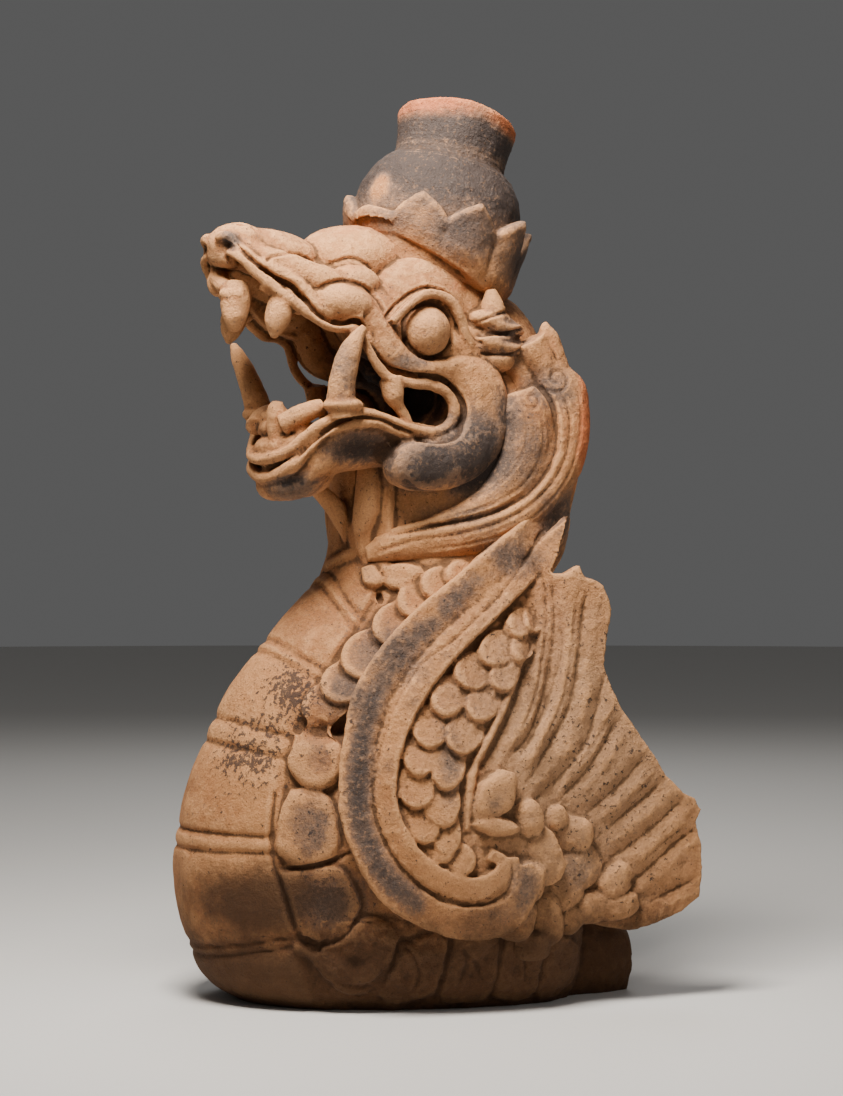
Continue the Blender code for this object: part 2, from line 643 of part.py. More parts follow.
def main():
    for leftover in list(bpy.data.objects):
        bpy.data.objects.remove(leftover)
    ornament = collection("naga ornament")
    collection("cutters")
    clay = Clay()
    body(clay)
    tail(clay)
    skin = clay.skin()
    for side in (1, -1):
        wing(clay, skin, side)
        place = flank_laid(skin, side)
        pressed_scales(clay, place, SIDE_SCALES)
        pressed_scales(clay, place, LOW_SCALES, stretch=1.1)
        mane(clay, side)
        eyes(clay, side)
        ear(clay, side)
    throat(clay)
    skull(clay)
    jaws(clay)
    teeth(clay)
    crown(clay)
    naga = clay.object("naga_ornament")
    ornament.objects.link(naga)
    finish(naga)


main()
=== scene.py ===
# %% [markdown]
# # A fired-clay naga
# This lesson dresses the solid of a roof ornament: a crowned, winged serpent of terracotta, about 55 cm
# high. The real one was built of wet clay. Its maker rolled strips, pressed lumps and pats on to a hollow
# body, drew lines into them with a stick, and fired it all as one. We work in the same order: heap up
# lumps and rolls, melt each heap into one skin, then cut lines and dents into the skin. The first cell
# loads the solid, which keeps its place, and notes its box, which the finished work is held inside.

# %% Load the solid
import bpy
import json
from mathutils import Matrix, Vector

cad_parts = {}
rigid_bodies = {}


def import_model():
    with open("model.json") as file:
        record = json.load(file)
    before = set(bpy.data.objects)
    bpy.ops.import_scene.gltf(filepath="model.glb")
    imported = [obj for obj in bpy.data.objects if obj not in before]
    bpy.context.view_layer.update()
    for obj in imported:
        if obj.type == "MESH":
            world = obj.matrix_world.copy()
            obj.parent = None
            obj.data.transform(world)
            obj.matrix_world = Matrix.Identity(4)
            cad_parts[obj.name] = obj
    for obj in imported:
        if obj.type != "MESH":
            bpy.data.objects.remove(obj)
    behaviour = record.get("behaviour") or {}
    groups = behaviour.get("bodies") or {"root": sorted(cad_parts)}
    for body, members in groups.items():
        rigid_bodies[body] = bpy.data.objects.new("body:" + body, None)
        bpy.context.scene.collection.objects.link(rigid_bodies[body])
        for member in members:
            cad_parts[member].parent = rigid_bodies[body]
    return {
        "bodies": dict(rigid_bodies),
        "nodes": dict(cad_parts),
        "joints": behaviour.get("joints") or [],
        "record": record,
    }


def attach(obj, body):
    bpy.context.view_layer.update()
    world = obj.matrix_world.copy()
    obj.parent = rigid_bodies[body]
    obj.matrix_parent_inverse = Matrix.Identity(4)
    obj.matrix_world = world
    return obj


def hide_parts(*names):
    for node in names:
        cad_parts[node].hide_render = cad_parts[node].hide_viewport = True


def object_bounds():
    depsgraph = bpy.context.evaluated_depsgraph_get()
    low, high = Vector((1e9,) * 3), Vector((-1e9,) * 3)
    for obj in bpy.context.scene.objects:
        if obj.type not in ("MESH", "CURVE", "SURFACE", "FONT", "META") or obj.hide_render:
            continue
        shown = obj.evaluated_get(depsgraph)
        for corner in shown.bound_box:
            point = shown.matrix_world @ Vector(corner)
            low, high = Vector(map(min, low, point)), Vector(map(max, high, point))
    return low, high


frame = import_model()
solid_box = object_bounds()
print("solid box, m:", [tuple(round(c, 4) for c in corner) for corner in solid_box])

# %% [markdown]
# Blender's own modules come next, with numpy for work on many points at once. Everything below is
# written in millimetres, as a maker would measure it, and MM turns it into Blender's metres. The head is
# drawn looking straight ahead and then turned 15 degrees to its own left, so places on it go through a
# frame of their own.

# %% Units and frames
import json
import math

import bmesh
import bpy
import numpy as np
from mathutils import Matrix, Vector
from mathutils.bvhtree import BVHTree

MM = 0.001
NECK, HEAD_TURN = 5, 15             # the head turns about a point this far behind the middle
TRUNK = Matrix()
HEAD = (Matrix.Translation((0, NECK * MM, 0)) @ Matrix.Rotation(math.radians(HEAD_TURN), 4, "Z")
        @ Matrix.Translation((0, -NECK * MM, 0)))


def at(frame, x, y, z):
    """A place in a frame, in metres."""
    return frame @ (Vector((x, y, z)) * MM)


print("the head's left eye is at", tuple(round(c, 3) for c in at(HEAD, 43, -30, 403)))

# %% [markdown]
# Rolls, seams and drawn lines all follow curves. A curve here is a short list of given points,
# and this helper runs a smooth line through them (a Catmull-Rom spline). The points may carry further
# numbers, such as a radius, which are smoothed along with the place.

# %% A smooth line through points


def curve_through(points, count):
    """Count rows along a smooth curve through the given rows."""
    points = np.array(points, float)
    padded = np.vstack([2 * points[0] - points[1], points, 2 * points[-1] - points[-2]])
    place = np.linspace(0, len(points) - 1, count)
    k = np.minimum(place.astype(int), len(points) - 2)
    t = (place - k)[:, None]
    a, b, c, d = (padded[k + i] for i in range(4))
    return 0.5 * (2 * b + (c - a) * t + (2 * a - 5 * b + 4 * c - d) * t ** 2
                  + (3 * b - a - 3 * c + d) * t ** 3)


print("a test curve has", len(curve_through([(0, 0), (5, 3), (9, 1)], 25)), "points")

# %% [markdown]
# ## The heap
# Clay is added as simple shapes. Each one is a Blender primitive or a curve, put in place and kept in a
# list, the heap. A lump is an icosphere stretched into an ellipsoid. A roll is a curve with a round
# bevel whose points have radii, which is how a strip of clay tapers under the fingers. A skin is a loft
# over rings, for forms like a jaw that no primitive gives, and a ribbon is a flat strand lofted between
# two edges. Sections are circles made squarer by a power below 1.

# %% Lumps, rolls and skins
heap = []


def linked(name, data):
    """A new object round a mesh or a curve, linked to the scene."""
    piece = bpy.data.objects.new(name, data)
    bpy.context.scene.collection.objects.link(piece)
    return piece


def squarer(values, power):
    """Sines or cosines pushed outwards by a power below 1, which squares a circle."""
    return np.sign(values) * np.abs(values) ** power


def keep(piece, frame, place=(0, 0, 0), turn=None):
    """Adds a piece to the heap, moved to its place in a frame."""
    piece.matrix_world = frame @ Matrix.Translation(Vector(place) * MM) @ (turn or Matrix())
    heap.append(piece)
    return piece


def lump(frame, place, radii, pitch=0, yaw=0):
    """An ellipsoid of clay; pitch lowers its front, yaw turns it to its left, both in degrees."""
    bpy.ops.mesh.primitive_ico_sphere_add(subdivisions=4, radius=MM)
    turn = Matrix.Rotation(math.radians(yaw), 4, "Z") @ Matrix.Rotation(math.radians(pitch), 4, "X")
    return keep(bpy.context.object, frame, place, turn @ Matrix.Diagonal((*radii, 1)))


def roll(frame, points, spacing=8):
    """A rolled strip through rows of x, y, z and radius."""
    path = curve_through(points, spacing * (len(points) - 1) + 1)
    curve = bpy.data.curves.new("roll", "CURVE")
    curve.dimensions = "3D"
    curve.bevel_depth = MM
    curve.bevel_resolution = 6
    curve.use_fill_caps = True
    spline = curve.splines.new("POLY")
    spline.points.add(len(path) - 1)
    for point, (x, y, z, radius) in zip(spline.points, path):
        point.co = (x * MM, y * MM, z * MM, 1)
        point.radius = max(radius, 0.4)
    return keep(linked("roll", curve), frame)


def skin(frame, rings, closed=False):
    """A skin over rings of x, y and z, with flat ends or closed into a hoop."""
    around = len(rings[0])
    faces = []
    for row in range(len(rings) if closed else len(rings) - 1):
        a, b = row * around, (row + 1) % len(rings) * around
        faces += [(a + i, a + (i + 1) % around, b + (i + 1) % around, b + i) for i in range(around)]
    if not closed:
        last = (len(rings) - 1) * around
        faces += [tuple(range(around))[::-1], tuple(range(last, last + around))]
    mesh = bpy.data.meshes.new("skin")
    mesh.from_pydata([tuple(p) for p in np.vstack(rings) * MM], [], faces)
    return keep(linked("skin", mesh), frame)


def ribbon(frame, side, rows, count=60):
    """A flat strand between two edges: rows of y and z at each edge, x of its face and thickness."""
    turn = np.linspace(0, 2 * math.pi, 28, endpoint=False)
    across, out = squarer(np.cos(turn), 0.8), squarer(np.sin(turn), 0.8)
    rings = []
    for y1, z1, y2, z2, face, thickness in curve_through(rows, count):
        rings.append(np.stack([side * (face + (out - 1) * thickness / 2), (y1 + y2 + across * (y2 - y1)) / 2,
                               (z1 + z2 + across * (z2 - z1)) / 2], axis=1))
    return skin(frame, rings)


print("helpers for lumps, rolls, skins and ribbons are ready")

# %% [markdown]
# Melting is what wet clay does by itself. We join the heap into one mesh, and the Remesh modifier in
# its voxel mode keeps only the outer skin, at an even grain. A light Smooth takes off the stair steps.
# Both modifiers are applied, so what stays is plain mesh that can be worked on.

# %% Melt the heap into one skin


def apply(piece, kind, **settings):
    """Adds a modifier with settings and applies it."""
    modifier = piece.modifiers.new(kind.lower(), kind)
    for name, value in settings.items():
        setattr(modifier, name, value)
    bpy.context.view_layer.objects.active = piece
    bpy.ops.object.modifier_apply(modifier=modifier.name)


def melt(name, grain, smooth=2):
    """The heap as one skin of clay, its voxels grain millimetres wide; the heap is then empty."""
    bpy.ops.object.select_all(action="DESELECT")
    for piece in heap:
        piece.select_set(True)
    bpy.context.view_layer.objects.active = heap[0]
    bpy.ops.object.convert(target="MESH")
    bpy.ops.object.join()
    bpy.ops.object.transform_apply(location=True, rotation=True, scale=True)
    heap.clear()
    piece = bpy.context.object
    piece.name = piece.data.name = name
    apply(piece, "REMESH", mode="VOXEL", voxel_size=grain * MM)
    apply(piece, "SMOOTH", factor=0.5, iterations=smooth)
    return piece


print("the heap is empty:", not heap)

# %% [markdown]
# ## Working the skin
# A sculptor would now draw lines with a stick and press dents with a thumb. Surface holds a melted
# skin's points and normals as arrays, so that one call moves thousands of points. score() cuts a line
# drawn as seen from the side, only into points that face the tool, so that the far side of a thin wall
# isn't touched. dent() presses a hollow into all that lies near a place.

# %% The Surface class
BATCH = 20000                       # points compared with a line at a time, to spare memory


def vectors(rows, what):
    """A mesh's points or normals as an array of x, y and z."""
    flat = np.empty(len(rows) * 3, np.float32)
    rows.foreach_get(what, flat)
    return flat.reshape(-1, 3)


class Surface:
    """The points of a melted skin, moved as with a modelling tool, in the millimetres of a frame."""

    def __init__(self, piece, frame=TRUNK):
        self.piece = piece
        self.frame = frame
        self.read()

    def read(self):
        """The points and normals as they are now."""
        mesh = self.piece.data
        back = np.array(self.frame.inverted())
        self.co = (vectors(mesh.vertices, "co") @ back[:3, :3].T + back[:3, 3]) / MM
        self.normal = vectors(mesh.vertex_normals, "vector") @ back[:3, :3].T

    def write(self):
        """Puts the points back into the mesh."""
        there = np.array(self.frame)
        co = self.co * MM @ there[:3, :3].T + there[:3, 3]
        self.piece.data.vertices.foreach_set("co", co.astype(np.float32).ravel())
        self.piece.data.update()
        self.read()

    def push(self, chosen, rise):
        """Moves the chosen points along their normals."""
        self.co[chosen] += self.normal[chosen] * rise[:, None]

    def near(self, path, reach, side, inner):
        """The points that face a tool at one side, how far each is from its path, and from which step of it."""
        low, high = path.min(0) - reach, path.max(0) + reach
        flat = self.co[:, 1:]
        chosen = np.flatnonzero((flat > low).all(1) & (flat < high).all(1) & (self.co[:, 0] * side > inner)
                                & (self.normal[:, 0] * side > 0.05))
        gaps = np.empty(len(chosen))
        index = np.empty(len(chosen), int)
        for start in range(0, len(chosen), BATCH):
            part = slice(start, start + BATCH)
            d = np.linalg.norm(flat[chosen[part], None] - path[None], axis=2)
            index[part] = d.argmin(1)
            gaps[part] = d.min(1)
        return chosen, gaps, index

    def score(self, points, width, depth, side=1, inner=0, taper=4, bank=0.25):
        """A line drawn in the side with a blunt stick, which banks a little clay up beside it."""
        length = np.linalg.norm(np.diff(np.array(points, float), axis=0), axis=1).sum()
        path = curve_through(points, max(int(length), 4))
        chosen, gap, index = self.near(path, 4 * width, side, inner)
        ends = np.minimum(index, len(path) - 1 - index)
        strength = np.clip(ends / taper, 0, 1) if taper else np.ones(len(index))
        rise = -np.exp(-(gap / width) ** 2) + bank * np.exp(-((gap - 2.2 * width) / width) ** 2)
        self.push(chosen, depth * strength * rise)

    def dent(self, place, radii, depth):
        """A hollow pressed round a place, as with a thumb."""
        away = np.linalg.norm((self.co - place) / radii, axis=1)
        chosen = np.flatnonzero(away < 2.5)
        self.push(chosen, -depth * np.exp(-away[chosen] ** 2))


print("a Surface moves points along their normals")

# %% [markdown]
# Hand-pressed clay is never quite even. The Displace modifier with a Clouds texture gives the slow
# waves that fingers leave and the finer unevenness of a surface wiped with a wet cloth. The sizes are
# real ones, in millimetres, and the strengths stay small, so that the outline holds. The helpers after it
# close every piece: its points are eased back into the solid's box, and Decimate merges flat neighbours
# until it is light enough. The body is then cut off flat with Bisect, where it stands.

# %% Unevenness of the hand
MOST_TRIANGLES = {"body": 195000, "left_wing": 185000, "right_wing": 130000, "mane": 160000,
                  "head": 195000, "crown": 135000}
EDGE_EASE = 3 * MM                  # a point is eased when it comes nearer the box than this
pieces = {}


def uneven(piece, waves, group=""):
    """Displaces a piece, or a group of its points, by clouds of a size and a strength in millimetres."""
    for size, strength in waves:
        texture = bpy.data.textures.new("hand", "CLOUDS")
        texture.noise_scale = size * MM
        texture.noise_depth = 2
        apply(piece, "DISPLACE", texture=texture, texture_coords="LOCAL", strength=strength * MM,
              mid_level=0.5, vertex_group=group)
        bpy.data.textures.remove(texture)


def hold_inside(piece):
    """Eases points that come near the walls and the top of the solid's box, or pass them, back inside."""
    mesh = piece.data
    co = vectors(mesh.vertices, "co")
    for axis in range(3):
        for limit, sign in ((solid_box[0][axis], -1), (solid_box[1][axis], 1)):
            if axis == 2 and sign < 0:
                continue
            over = sign * (co[:, axis] - limit) + EDGE_EASE
            out = over > 0
            co[out, axis] = limit - sign * EDGE_EASE * np.exp(-over[out] / EDGE_EASE)
    mesh.vertices.foreach_set("co", co.ravel())
    mesh.update()


def close_piece(piece):
    """Holds a worked piece inside the box, thins it to its share of triangles and lists it."""
    hold_inside(piece)
    triangles = sum(len(face.vertices) - 2 for face in piece.data.polygons)
    most = MOST_TRIANGLES[piece.name]
    if triangles > most:
        apply(piece, "DECIMATE", ratio=most / triangles)
    pieces[piece.name] = piece
    print(piece.name + ":", min(triangles, most), "triangles")


def edit(piece):
    """Selects one object alone and all of its points, in edit mode."""
    bpy.ops.object.select_all(action="DESELECT")
    piece.select_set(True)
    bpy.context.view_layer.objects.active = piece
    bpy.ops.object.mode_set(mode="EDIT")
    bpy.ops.mesh.select_all(action="SELECT")


def cut_flat(piece):
    """Cuts a piece off at the floor and closes it there."""
    edit(piece)
    bpy.ops.mesh.bisect(plane_co=(0, 0, 0), plane_no=(0, 0, 1), clear_inner=True, use_fill=True)
    bpy.ops.object.mode_set(mode="OBJECT")
    for vertex in piece.data.vertices:
        vertex.co.z = max(vertex.co.z, 0)


print("at most", sum(MOST_TRIANGLES.values()), "triangles in all")

# %% [markdown]
# ## The body
# The body is a tall, bellied vessel. In front it is round and covered with broad belly plates, and
# behind it is squarer and plain. Its stations give the half width and the reach to front and back at
# some heights. Turning it on a wheel, with Spin, would make it round all over, so the rings are lofted.
# The plates are built into the rings: each stands a little proud, between pairs of scored lines that
# hang lower at the sides near the foot and rise there near the neck. The plates end at an angle from
# the front that changes a little with the height.

# %% The body's rings and belly plates
BODY = (
    (-6, 73, 116, 80), (0, 76, 119, 82), (10, 84, 135, 84), (30, 91, 148, 86), (76, 98, 158, 85),
    (106, 98, 155, 81), (143, 93, 144, 76), (179, 84, 128, 73), (210, 74, 107, 70), (241, 63, 80, 71),
    (266, 56, 62, 75), (300, 51, 60, 84), (326, 50, 56, 89), (342, 47, 34, 89), (358, 42, 10, 84),
    (372, 32, 4, 74),
)
PLATE_LINES = (29, 35, 93, 104, 156, 170, 210, 217, 250, 258)
PLATE_EDGES = ((-6, 50), (47, 49), (78, 45), (100, 43), (146, 42), (194, 45), (229, 49), (262, 53), (300, 55))
DROOP_ANGLE = 52
PLATE_RISE, LINE_DEPTH, LINE_WIDTH = 2.2, 2.6, 1.5
BELLY_PILLOW = 1.2                  # a plate swells this much in its middle


def belly(angle, height):
    """How far the clay stands proud at angles from the front and at a height."""
    edge = np.interp(height, *np.array(PLATE_EDGES, float).T)
    inside = 1 / (1 + np.exp(-(edge - angle) / 1.1))
    droop = 0.19 * (1 - np.cos(np.radians(np.minimum(angle, 70)))) / (1 - math.cos(math.radians(DROOP_ANGLE)))
    front = (height - 100 * droop) / (1 - droop)
    lines = np.array(PLATE_LINES)[:, None]
    scored = np.exp(-((front - lines) / LINE_WIDTH) ** 2).max(0)
    gap = np.abs(front - lines).min(0)
    swell = BELLY_PILLOW * (1 - np.exp(-(gap / 9) ** 2))
    border = np.exp(-((edge - angle) / 1.4) ** 2)
    return inside * (PLATE_RISE + swell - LINE_DEPTH * scored) - 1.6 * border


def body_rings():
    """Rings from foot to neck, round in front and squarer behind."""
    angle = np.radians(np.arange(-180, 180, 1.0))
    side, ahead = np.sin(angle), np.cos(angle)
    rings = []
    for height, half, front, back in curve_through(BODY, 280):
        rise = belly(np.abs(np.degrees(angle)), height)
        x = np.where(ahead >= 0, (half + rise) * side, half * squarer(side, 2 / 3))
        y = np.where(ahead >= 0, -(front + rise) * ahead, back * np.abs(ahead) ** (2 / 3))
        rings.append(np.stack([x, y, np.full(len(angle), height)], axis=1))
    return rings


skin(TRUNK, body_rings())
print("belly plates drawn between", PLATE_LINES[0], "and", PLATE_LINES[-1], "mm")

# %% [markdown]
# The tail ran on behind the body and is broken off short. Its root is a low tunnel over the floor, with
# a raw end that leans forward. The throat has soft upright folds, and a strut of clay ties the lower
# jaw to them, because an open jaw would sag before it dried. A last roll lies across their feet.

# %% The tail's root and the throat
TAIL = ((30, 56, 62), (70, 55, 60), (98, 51, 54), (114, 46, 47), (121, 40, 38))     # y, half width, top
TAIL_WIDEST, TAIL_LEAN = 14, 0.12
THROAT_FOLDS = ((-34, 4, 8), (-20, -3, 9.5), (-5, 3, 9), (10, -3, 10), (23, 3.5, 9.5), (36, -3, 8))


def tail_rings():
    """Rings of the tail's root, each leaning forward."""
    angle = np.linspace(0, 2 * math.pi, 60, endpoint=False)
    across, up = squarer(np.cos(angle), 0.7), squarer(np.sin(angle), 0.8)
    rings = []
    for y, half, top in curve_through(TAIL, 25):
        z = TAIL_WIDEST + up * np.where(up > 0, top - TAIL_WIDEST, 2 * TAIL_WIDEST)
        rings.append(np.stack([half * across, y - TAIL_LEAN * np.maximum(top - z, 0), z], axis=1))
    return rings


skin(TRUNK, tail_rings())
for x, bow, radius in THROAT_FOLDS:
    roll(TRUNK, [(x, -44, 256, radius * 0.8), (x * 0.92 + bow, -50, 278, radius),
                 (x * 0.85 - bow, -49, 303, radius * 1.1), (x * 0.8 + bow, -44, 336, radius)])
roll(TRUNK, [(14, -92, 322, 5.5), (17, -76, 308, 5), (19, -64, 294, 6), (18, -55, 276, 4.5)])      # strut
roll(TRUNK, [(-40, -40, 266, 4), (-14, -58, 260, 6), (10, -62, 264, 5), (30, -50, 270, 6), (42, -40, 266, 4)])
print(len(heap), "forms wait in the heap")

# %% [markdown]
# Down each flank runs a row of big scales, like coins laid over one another. Each began as a ball of
# clay pressed flat, so it has a flat face, a blunt rim and a lower edge that stands free. We model one
# coin from a cylinder, bevel its rim in edit mode, and copy it; a cube beveled far in gives, in the same
# way, the pebbles heaped at the elbow. A ray cast from the side finds where the flank is, and the coin is
# laid there, tipped so that its lower edge lifts. Larger scales have drawn outlines, and are pats of clay.

# %% Coins of clay for the scales
SCALE_THICKNESS, SCALE_LIFT = 8, 3.3
PAT_SECTION = ((1, 0), (1, 0.2), (0.97, 0.62), (0.92, 0.85), (0.8, 0.97), (0.6, 1), (0.35, 1), (0.1, 1))
PAT_ROOT = -7                       # a pat starts this far inside the flank

bpy.ops.mesh.primitive_cylinder_add(vertices=48, radius=0.5, depth=1)
coin = bpy.context.object
bpy.ops.mesh.primitive_cube_add(size=1)
pebble = bpy.context.object
for form, offset, segments in ((coin, 0.07, 2), (pebble, 0.38, 5)):
    edit(form)
    bpy.ops.mesh.bevel(offset=offset, segments=segments)
    bpy.ops.object.mode_set(mode="OBJECT")


class Flank:
    """The body's skin as a person at its side meets it."""

    def __init__(self, side):
        self.side = side
        self.tree = BVHTree.FromObject(heap[0], bpy.context.evaluated_depsgraph_get())

    def at(self, y, z):
        """The place and the normal on the flank, in millimetres."""
        hit, normal, _face, _gap = self.tree.ray_cast(Vector((300, y, z)) * MM, Vector((-1, 0, 0)))
        if hit is None:
            hit, normal, _face, _gap = self.tree.find_nearest(Vector((60, y, z)) * MM)
        turn = Vector((self.side, 1, 1))
        return hit / MM * turn, normal * turn


def scale_row(flank, spots, thickness=SCALE_THICKNESS, lift=SCALE_LIFT):
    """Overlapping scales through rows of y, z, width and length, each lying over the next one's top."""
    found = [flank.at(y, z) for y, z, *_size in spots]
    for i, ((place, normal), (_y, _z, width, length)) in enumerate(zip(found, spots)):
        k = min(i, len(found) - 2)
        along = found[k + 1][0] - found[k][0]
        along = (along - normal * along.dot(normal)).normalized()
        lean = Matrix.Rotation(-math.asin(2 * lift / length), 3, normal.cross(along))
        normal, along = lean @ normal, lean @ along
        turn = Matrix((along.cross(normal), along, normal)).transposed().to_4x4()
        size = Matrix.Diagonal((width * MM, length * MM, thickness * MM, 1))
        keep(linked("scale", coin.data.copy()), TRUNK, place + along * 0.1 * width, turn @ size)


def pat(flank, outline, rise):
    """A flat pat of clay with a drawn outline of y and z, pressed on the flank and rise thick."""
    edge = curve_through([*outline, outline[0]], 6 * len(outline) + 1)[:-1]
    middle = edge.mean(0)
    rings = []
    for share, height in PAT_SECTION:
        level = PAT_ROOT if height == 0 else height * rise
        ring = []
        for y, z in middle + share * (edge - middle):
            place, normal = flank.at(y, z)
            ring.append(place + normal * (level + (1 - share ** 6) * 0.8))
        rings.append(np.array(ring))
    return skin(TRUNK, rings)


bpy.context.view_layer.update()
flanks = {side: Flank(side) for side in (1, -1)}
print("the flank at half height is", round(flanks[1].at(0, 270)[0].x), "mm from the middle")

# %% [markdown]
# The scales shrink towards the neck. The lowest ones are broad shields beside the belly plates, and
# along the foot they are crumbled and thumbed hollow. The far flank mirrors the near one.

# %% Lay the scales and melt the body
SIDE_SCALES = (
    (1, 256, 19, 20), (-11, 251, 23, 25), (-24, 243, 25, 29), (-37, 228, 30, 33), (-55, 211, 32, 36),
    (-70, 195, 28, 31), (-82, 181, 28, 32),
)
HOLLOW_SCALE = ((-90, 178), (-101, 164), (-106, 147), (-100, 134), (-90, 131), (-80, 138), (-76, 156), (-80, 174))
SHIELDS = (
    ((-106, 131), (-113, 114), (-114, 96), (-104, 88), (-92, 89), (-82, 97), (-82, 114), (-86, 128), (-96, 133)),
    ((-112, 84), (-108, 66), (-102, 50), (-92, 44), (-80, 49), (-70, 62), (-72, 74), (-82, 88), (-98, 86)),
    ((-93, 36), (-84, 46), (-66, 58), (-50, 52), (-47, 38), (-60, 21), (-73, 19), (-85, 25)),
)
NECK_PATS = (
    ((-44, 262), (-30, 263), (-21, 259), (-34, 248), (-43, 250)),
    ((-54, 260), (-48, 262), (-45, 255), (-47, 250), (-54, 250)),
)
FOOT_PATS = (
    ((-47, 42), (-30, 47), (-17, 43), (-19, 28), (-24, 10), (-44, 6), (-56, 12), (-51, 30)),
    ((-15, 45), (4, 48), (15, 40), (13, 22), (9, 6), (-10, 4), (-21, 10), (-17, 30)),
    ((17, 44), (32, 46), (43, 40), (42, 22), (38, 6), (20, 4), (12, 12)),
    ((45, 42), (58, 42), (70, 34), (68, 12), (54, 4), (41, 8)),
)
BAND_RIM = 1.5                      # a band's two edges stand this much above its middle
LIP_ROLL = ((-104, 40, 3, 0), (-94, 35, 3, 0.5), (-86, 25, 3, 0.5), (-74, 16, 3, 0.5), (-62, 13, 2.5, 0))


def laid_roll(flank, points):
    """A roll laid on a flank through rows of y, z, radius and lift."""
    path = []
    for y, z, radius, lift in curve_through(points, 4 * (len(points) - 1) + 1):
        place, normal = flank.at(y, z)
        path.append((*(place + normal * lift), radius))
    roll(TRUNK, path, spacing=3)


def laid_band(flank, points):
    """A flat-topped band through rows of y, z, half width, height and tilt, which lifts its outer edge."""
    rows = curve_through(points, 6 * (len(points) - 1) + 1)
    found = [flank.at(y, z) for y, z, *_rest in rows]
    places = np.array([place for place, _normal in found])
    normals = np.array([normal for _place, normal in found])
    for _pass in range(3):
        normals[1:-1] = (normals[:-2] + 2 * normals[1:-1] + normals[2:]) / 4
    normals /= np.linalg.norm(normals, axis=1)[:, None]
    along = np.gradient(places, axis=0)
    beside = np.cross(along, normals) * flank.side
    beside /= np.linalg.norm(beside, axis=1)[:, None]
    turn = np.linspace(0, 2 * math.pi, 32, endpoint=False)
    across, out = squarer(np.cos(turn), 0.45)[:, None], squarer(np.sin(turn), 0.28)[:, None]
    rim = BAND_RIM * np.abs(across) ** 6 * (out > 0)
    rings = []
    for place, normal, away, (_y, _z, half, height, tilt) in zip(places, normals, beside, rows):
        rings.append(place + away * across * half + normal * (out * height + tilt * across + rim))
    return skin(TRUNK, rings)


for side, flank in flanks.items():
    scale_row(flank, SIDE_SCALES)
    pat(flank, HOLLOW_SCALE, 6.5)
    for outline, rise in zip(SHIELDS, (4.5, 3.5, 4)):
        pat(flank, outline, rise)
    for outline in NECK_PATS:
        pat(flank, outline, 4)
    for outline in FOOT_PATS:
        pat(flank, outline, 2.4)
    laid_roll(flank, LIP_ROLL)
print("body heap:", len(heap), "forms")
body = melt("body", 1.45)

# %% [markdown]
# With the body melted, the tools come out. Lines part the shields from the plates, thumbs press some
# scales hollow, and a vent hole, which let steam out in the kiln, is cut with a Boolean, as it goes deep.
# The sides of the foot belong to a vertex group, so that Displace can crumble them alone. Last the foot
# is cut flat, where the piece stands.

# %% Work the body's skin
THUMB_HOLLOWS = (
    (-84, 167, 14, 7.5, 11), (-90, 150, 6, 9, 2.5), (-72, 31, 6, 4, 2.5), (-66, 40, 12, 7, 1.2),
    (-34, 26, 8, 9, 1.6), (-4, 22, 9, 7, 1.8), (28, 22, 8, 8, 1.6), (-98, 112, 8, 16, 1.0),
    (-40, 44, 6, 4, 1.2), (-36, 40, 14, 3, 1.2),
)
BODY_LINES = (
    (((-47, 46), (-49, 34), (-55, 16)), 1.2, 1.8), (((-16, 46), (-18, 32), (-22, 10)), 1.2, 1.4),
    (((16, 44), (14, 28), (12, 8)), 1.0, 1.0), (((44, 42), (43, 26), (41, 8)), 1.0, 0.9),
    (((-44, 40), (-38, 34), (-34, 22), (-38, 12)), 1.4, 1.4), (((-10, 40), (-6, 30), (-10, 16)), 1.6, 1.3),
    (((-110, 86), (-98, 88), (-84, 92), (-72, 98)), 1.2, 1.6),
    (((-100, 46), (-92, 42), (-80, 46), (-70, 58)), 1.3, 1.6),
    (((-114, 132), (-117, 112), (-117, 92), (-113, 76), (-104, 48)), 1.2, 1.6),
    (((-8, 36), (0, 28), (4, 18)), 1.0, 1.0), (((22, 38), (30, 30), (32, 16)), 1.0, 0.9),
)
VENT, VENT_RADII = (60, -47, 244), (14, 3.6, 6)
FOOT_TOP, FOOT_FRONT, FOOT_MIDDLE = 56, -92, 40

bpy.ops.mesh.primitive_ico_sphere_add(subdivisions=3, radius=MM)
tool = bpy.context.object
tool.matrix_world = Matrix.Translation(Vector(VENT) * MM) @ Matrix.Diagonal((*VENT_RADII, 1))
bpy.context.view_layer.update()
apply(body, "BOOLEAN", operation="DIFFERENCE", object=tool)
bpy.data.objects.remove(tool)

surface = Surface(body)
for side, flank in flanks.items():
    for y, z, wide, high, depth in THUMB_HOLLOWS:
        surface.dent(np.array(flank.at(y, z)[0]), (14, wide, high), depth)
    for line, width, depth in BODY_LINES:
        surface.score(line, width, depth, side, inner=20)
surface.write()
uneven(body, ((34, 1.4), (9, 0.5)))
foot = body.vertex_groups.new(name="foot")
x, y, z = surface.co.T
side_of_foot = (z < FOOT_TOP) & (y > FOOT_FRONT) & (np.abs(x) > FOOT_MIDDLE)
foot.add(np.flatnonzero(side_of_foot).tolist(), 1, "REPLACE")
uneven(body, ((16, 4.0), (6, 1.6)), group="foot")
body.vertex_groups.clear()
close_piece(body)
cut_flat(body)

# %% [markdown]
# ## The wings
# A wing lies along each flank: a double arm that curls up at the elbow, two rows of coverts, two thin
# shafts, a heap of pebbles, and a fan of long feathers that stands free behind. The arm is two
# flat-topped bands, laid on the flank by ray casts. Each row of a band gives y, z, half width, height and
# tilt. Lower bands fill the groove between them.

